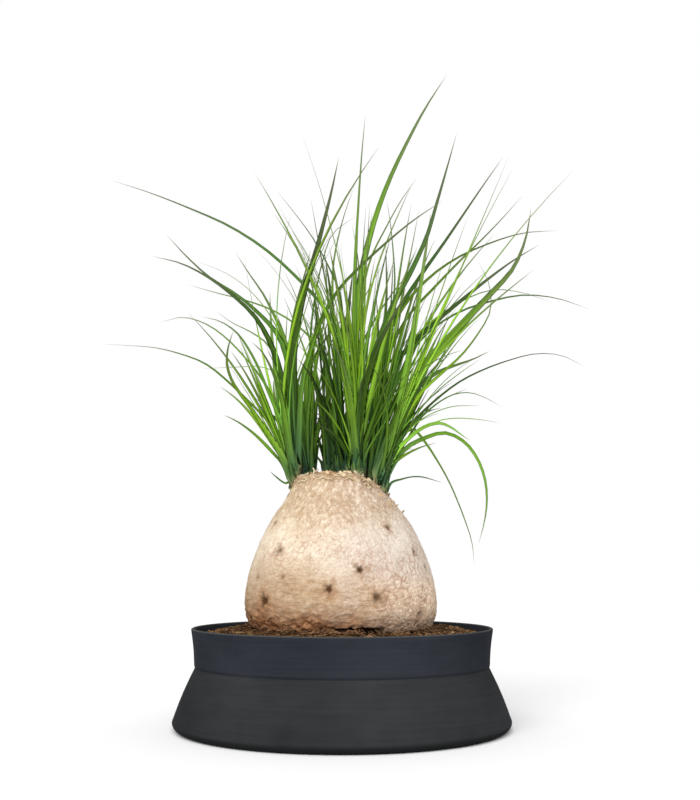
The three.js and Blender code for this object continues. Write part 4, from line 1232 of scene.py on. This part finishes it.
def moved_mottling(tree, place, tone, stretch, apart, values):
    """The mottling on a leaf's own map, stretched, and moved sideways out of the map by the leaf's
    tone times a distance, so that no two leaves show the same patches."""
    moved = squeezed(tree, add_node(tree, "CombineXYZ", Z=tone).outputs[0], (1.0, 1.0, apart))
    joined = add_node(tree, "VectorMath", {"operation": "ADD"})
    tree.links.new(squeezed(tree, place, stretch), joined.inputs[0])
    tree.links.new(moved, joined.inputs[1])
    return mottled(tree, joined.outputs[0], *values)


def leaf_material(name, deep, bright):
    """Leaf green between a deep and a bright tone, each leaf at its own place between them and
    with a hue of its own. It has fine veins along it and soft blotches, a bluish dark foot with a
    pale clasp, a fuller green before its middle, a dull outer half where it is far from the cut,
    and a tip that dries to straw."""
    material, tree, shader = new_material(name, 0.48, 0.12)
    place = add_node(tree, "UVMap", {"uv_map": "leaf"}).outputs["UV"]
    axes = add_node(tree, "SeparateXYZ", Vector=place).outputs
    tone = read_points(tree, "tone")
    green = colour_ramp(tree, tone, (
        (0.0, tuple(0.60 * a for a in deep)), (0.07, deep),
        (0.5, tuple(0.6 * a + 0.4 * b for a, b in zip(deep, bright))), (1.0, bright),
    ))
    own_hue = add_node(tree, "TexNoise", {"noise_dimensions": "1D"}, W=tone, Scale=31.0, Detail=0.0)
    green = shaded(tree, green, own_hue.outputs["Fac"], (
        (0.30, (0.86, 0.98, 1.42)), (0.50, (1.0, 1.0, 1.0)), (0.70, (1.07, 1.01, 0.74)),
    ))
    veins = moved_mottling(tree, place, tone, (11.0, 1.3, 1.0), 37.0, (1.6, 0.35, 2.0))
    green = shaded(tree, green, veins, ((0.0, (0.62, 0.70, 0.58)), (1.0, (1.34, 1.24, 1.20))))
    from_edge = worked_out(tree, "PINGPONG", axes["X"], 0.5)
    green = shaded(tree, green, from_edge, (
        (0.0, (0.62, 0.68, 0.62)), (0.10, (1.0, 1.0, 1.0)), (0.42, (1.0, 1.0, 1.0)),
        (0.5, (0.80, 0.84, 0.74)),
    ), 0.8)
    # painted shade and light across each blade: one half darker and the other lighter, as a fold would
    # be lit
    green = shaded(tree, green, axes["X"], (
        (0.0, (0.76, 0.76, 0.76)), (0.46, (0.88, 0.88, 0.88)), (0.54, (1.18, 1.16, 1.10)),
        (1.0, (1.06, 1.04, 1.0)),
    ), 0.6)
    blotches = moved_mottling(tree, place, tone, (1.5, 5.0, 1.0), 71.0, (1.1, 0.3, 2.2))
    green = shaded(tree, green, blotches, ((0.0, (0.74, 0.76, 0.80)), (1.0, (1.26, 1.20, 1.06))), 0.9)
    green = shaded(tree, green, axes["Y"], (
        (0.0, (0.42, 0.55, 1.50)), (0.09, (0.66, 0.82, 2.10)), (0.20, (1.22, 1.38, 1.60)),
        (0.38, (1.36, 1.56, 0.95)), (0.75, (0.96, 1.05, 0.85)),
    ))
    clasp = colour_ramp(tree, axes["Y"], (
        (0.0, (0.20, 0.115, 0.05)), (0.025, (0.34, 0.36, 0.17)), (0.055, (0.17, 0.25, 0.09)),
    ))
    green = blended(tree, "MIX", ranged(tree, axes["Y"], 0.015, 0.075, 0.85, 0.0), green, clasp)
    from_cut = add_node(tree, "VectorMath", {"operation": "DISTANCE"})
    tree.links.new(add_node(tree, "TexCoord").outputs["Object"], from_cut.inputs[0])
    from_cut.inputs[1].default_value = (0.0, 0.0, cut_height)
    away = ranged(tree, from_cut.outputs["Value"], 0.10, 0.20, 0.30, 1.0)
    dulled = times(tree, ranged(tree, axes["Y"], 0.54, 1.0, 0.0, 0.78), away)
    green = blended(tree, "MIX", dulled, green, (0.125, 0.142, 0.080))
    dried = ranged(tree, axes["Y"], 0.92, 1.0, 0.0, 0.6)
    green = blended(tree, "MIX", dried, green, (0.30, 0.23, 0.15))
    tree.links.new(green, shader.inputs["Base Color"])
    raised(tree, shader, veins, 0.3, 0.0003)
    return material


# the height of the cut in metres, as materials read it
cut_height = 0.22
leaf_paints = {
    "leaf_bright": leaf_material("bright_leaves", (0.045, 0.096, 0.016), (0.362, 0.620, 0.076)),
    "leaf_deep": leaf_material("deep_leaves", (0.031, 0.072, 0.016), (0.236, 0.430, 0.050)),
}
slots = {row["node"]: row["material_slot"] for row in frame["record"]["subparts"]}
full_stride, fine_stride = 2, 4
tones = np.random.default_rng(7)
# long leaves duller or fresher than their width says: the head, the place in its list, the tone
odd_tones = {
    ("left", 4): 0.20, ("left", 7): 0.10, ("left", 2): 0.15, ("middle", 0): 0.22, ("centre", 0): 0.34,
    ("centre", 3): 0.00, ("right", 4): 0.12, ("right", 0): 0.34, ("right", 1): 0.75, ("right", 8): 0.95,
    ("right", 10): 0.25, ("right", 13): 0.80,
}
# long leaves that narrow sooner than their width says: the share of it that is left
slender = {
    ("left", 3): 0.80, ("left", 4): 0.70, ("left", 8): 0.80, ("centre", 3): 0.76,
    ("right_back", 0): 0.80, ("right_back", 4): 0.80, ("right", 4): 0.56, ("right", 5): 0.70,
    ("right", 6): 0.80, ("right", 7): 0.80,
}
for name, leaves in grow_leaves().items():
    leaves = [rooted(name, leaf) for leaf in leaves]
    for number, leaf in enumerate(leaves):
        width_lost = 1 - slender.get((name, number), 1.0)
        leaf["reach"] = leaf["reach"] * (1 - width_lost * smooth_share(shares, 0.0, 0.4))
        spread, middle = 0.44, 0.12 + 0.62 * leaf["rank"]
        if "round" not in leaf:
            spread, middle = 0.26, 1.0 - 0.12 * leaf["width"]
        middle = 0.10 if leaf["old"] else odd_tones.get((name, number), middle)
        leaf["tone"] = np.clip(middle + spread * (tones.uniform() - 0.5), 0, 1)
    node = "head_" + name
    fine = [leaf for leaf in leaves if leaf.get("round") == 4]
    full = [leaf for leaf in leaves if leaf.get("round") != 4]
    for piece in (
        blades_piece("leaves_" + name, full, full_stride),
        blades_piece("fine_leaves_" + name, fine, fine_stride),
    ):
        piece.data.materials.append(leaf_paints[slots[node]])
        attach(piece, "root")
        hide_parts(node)
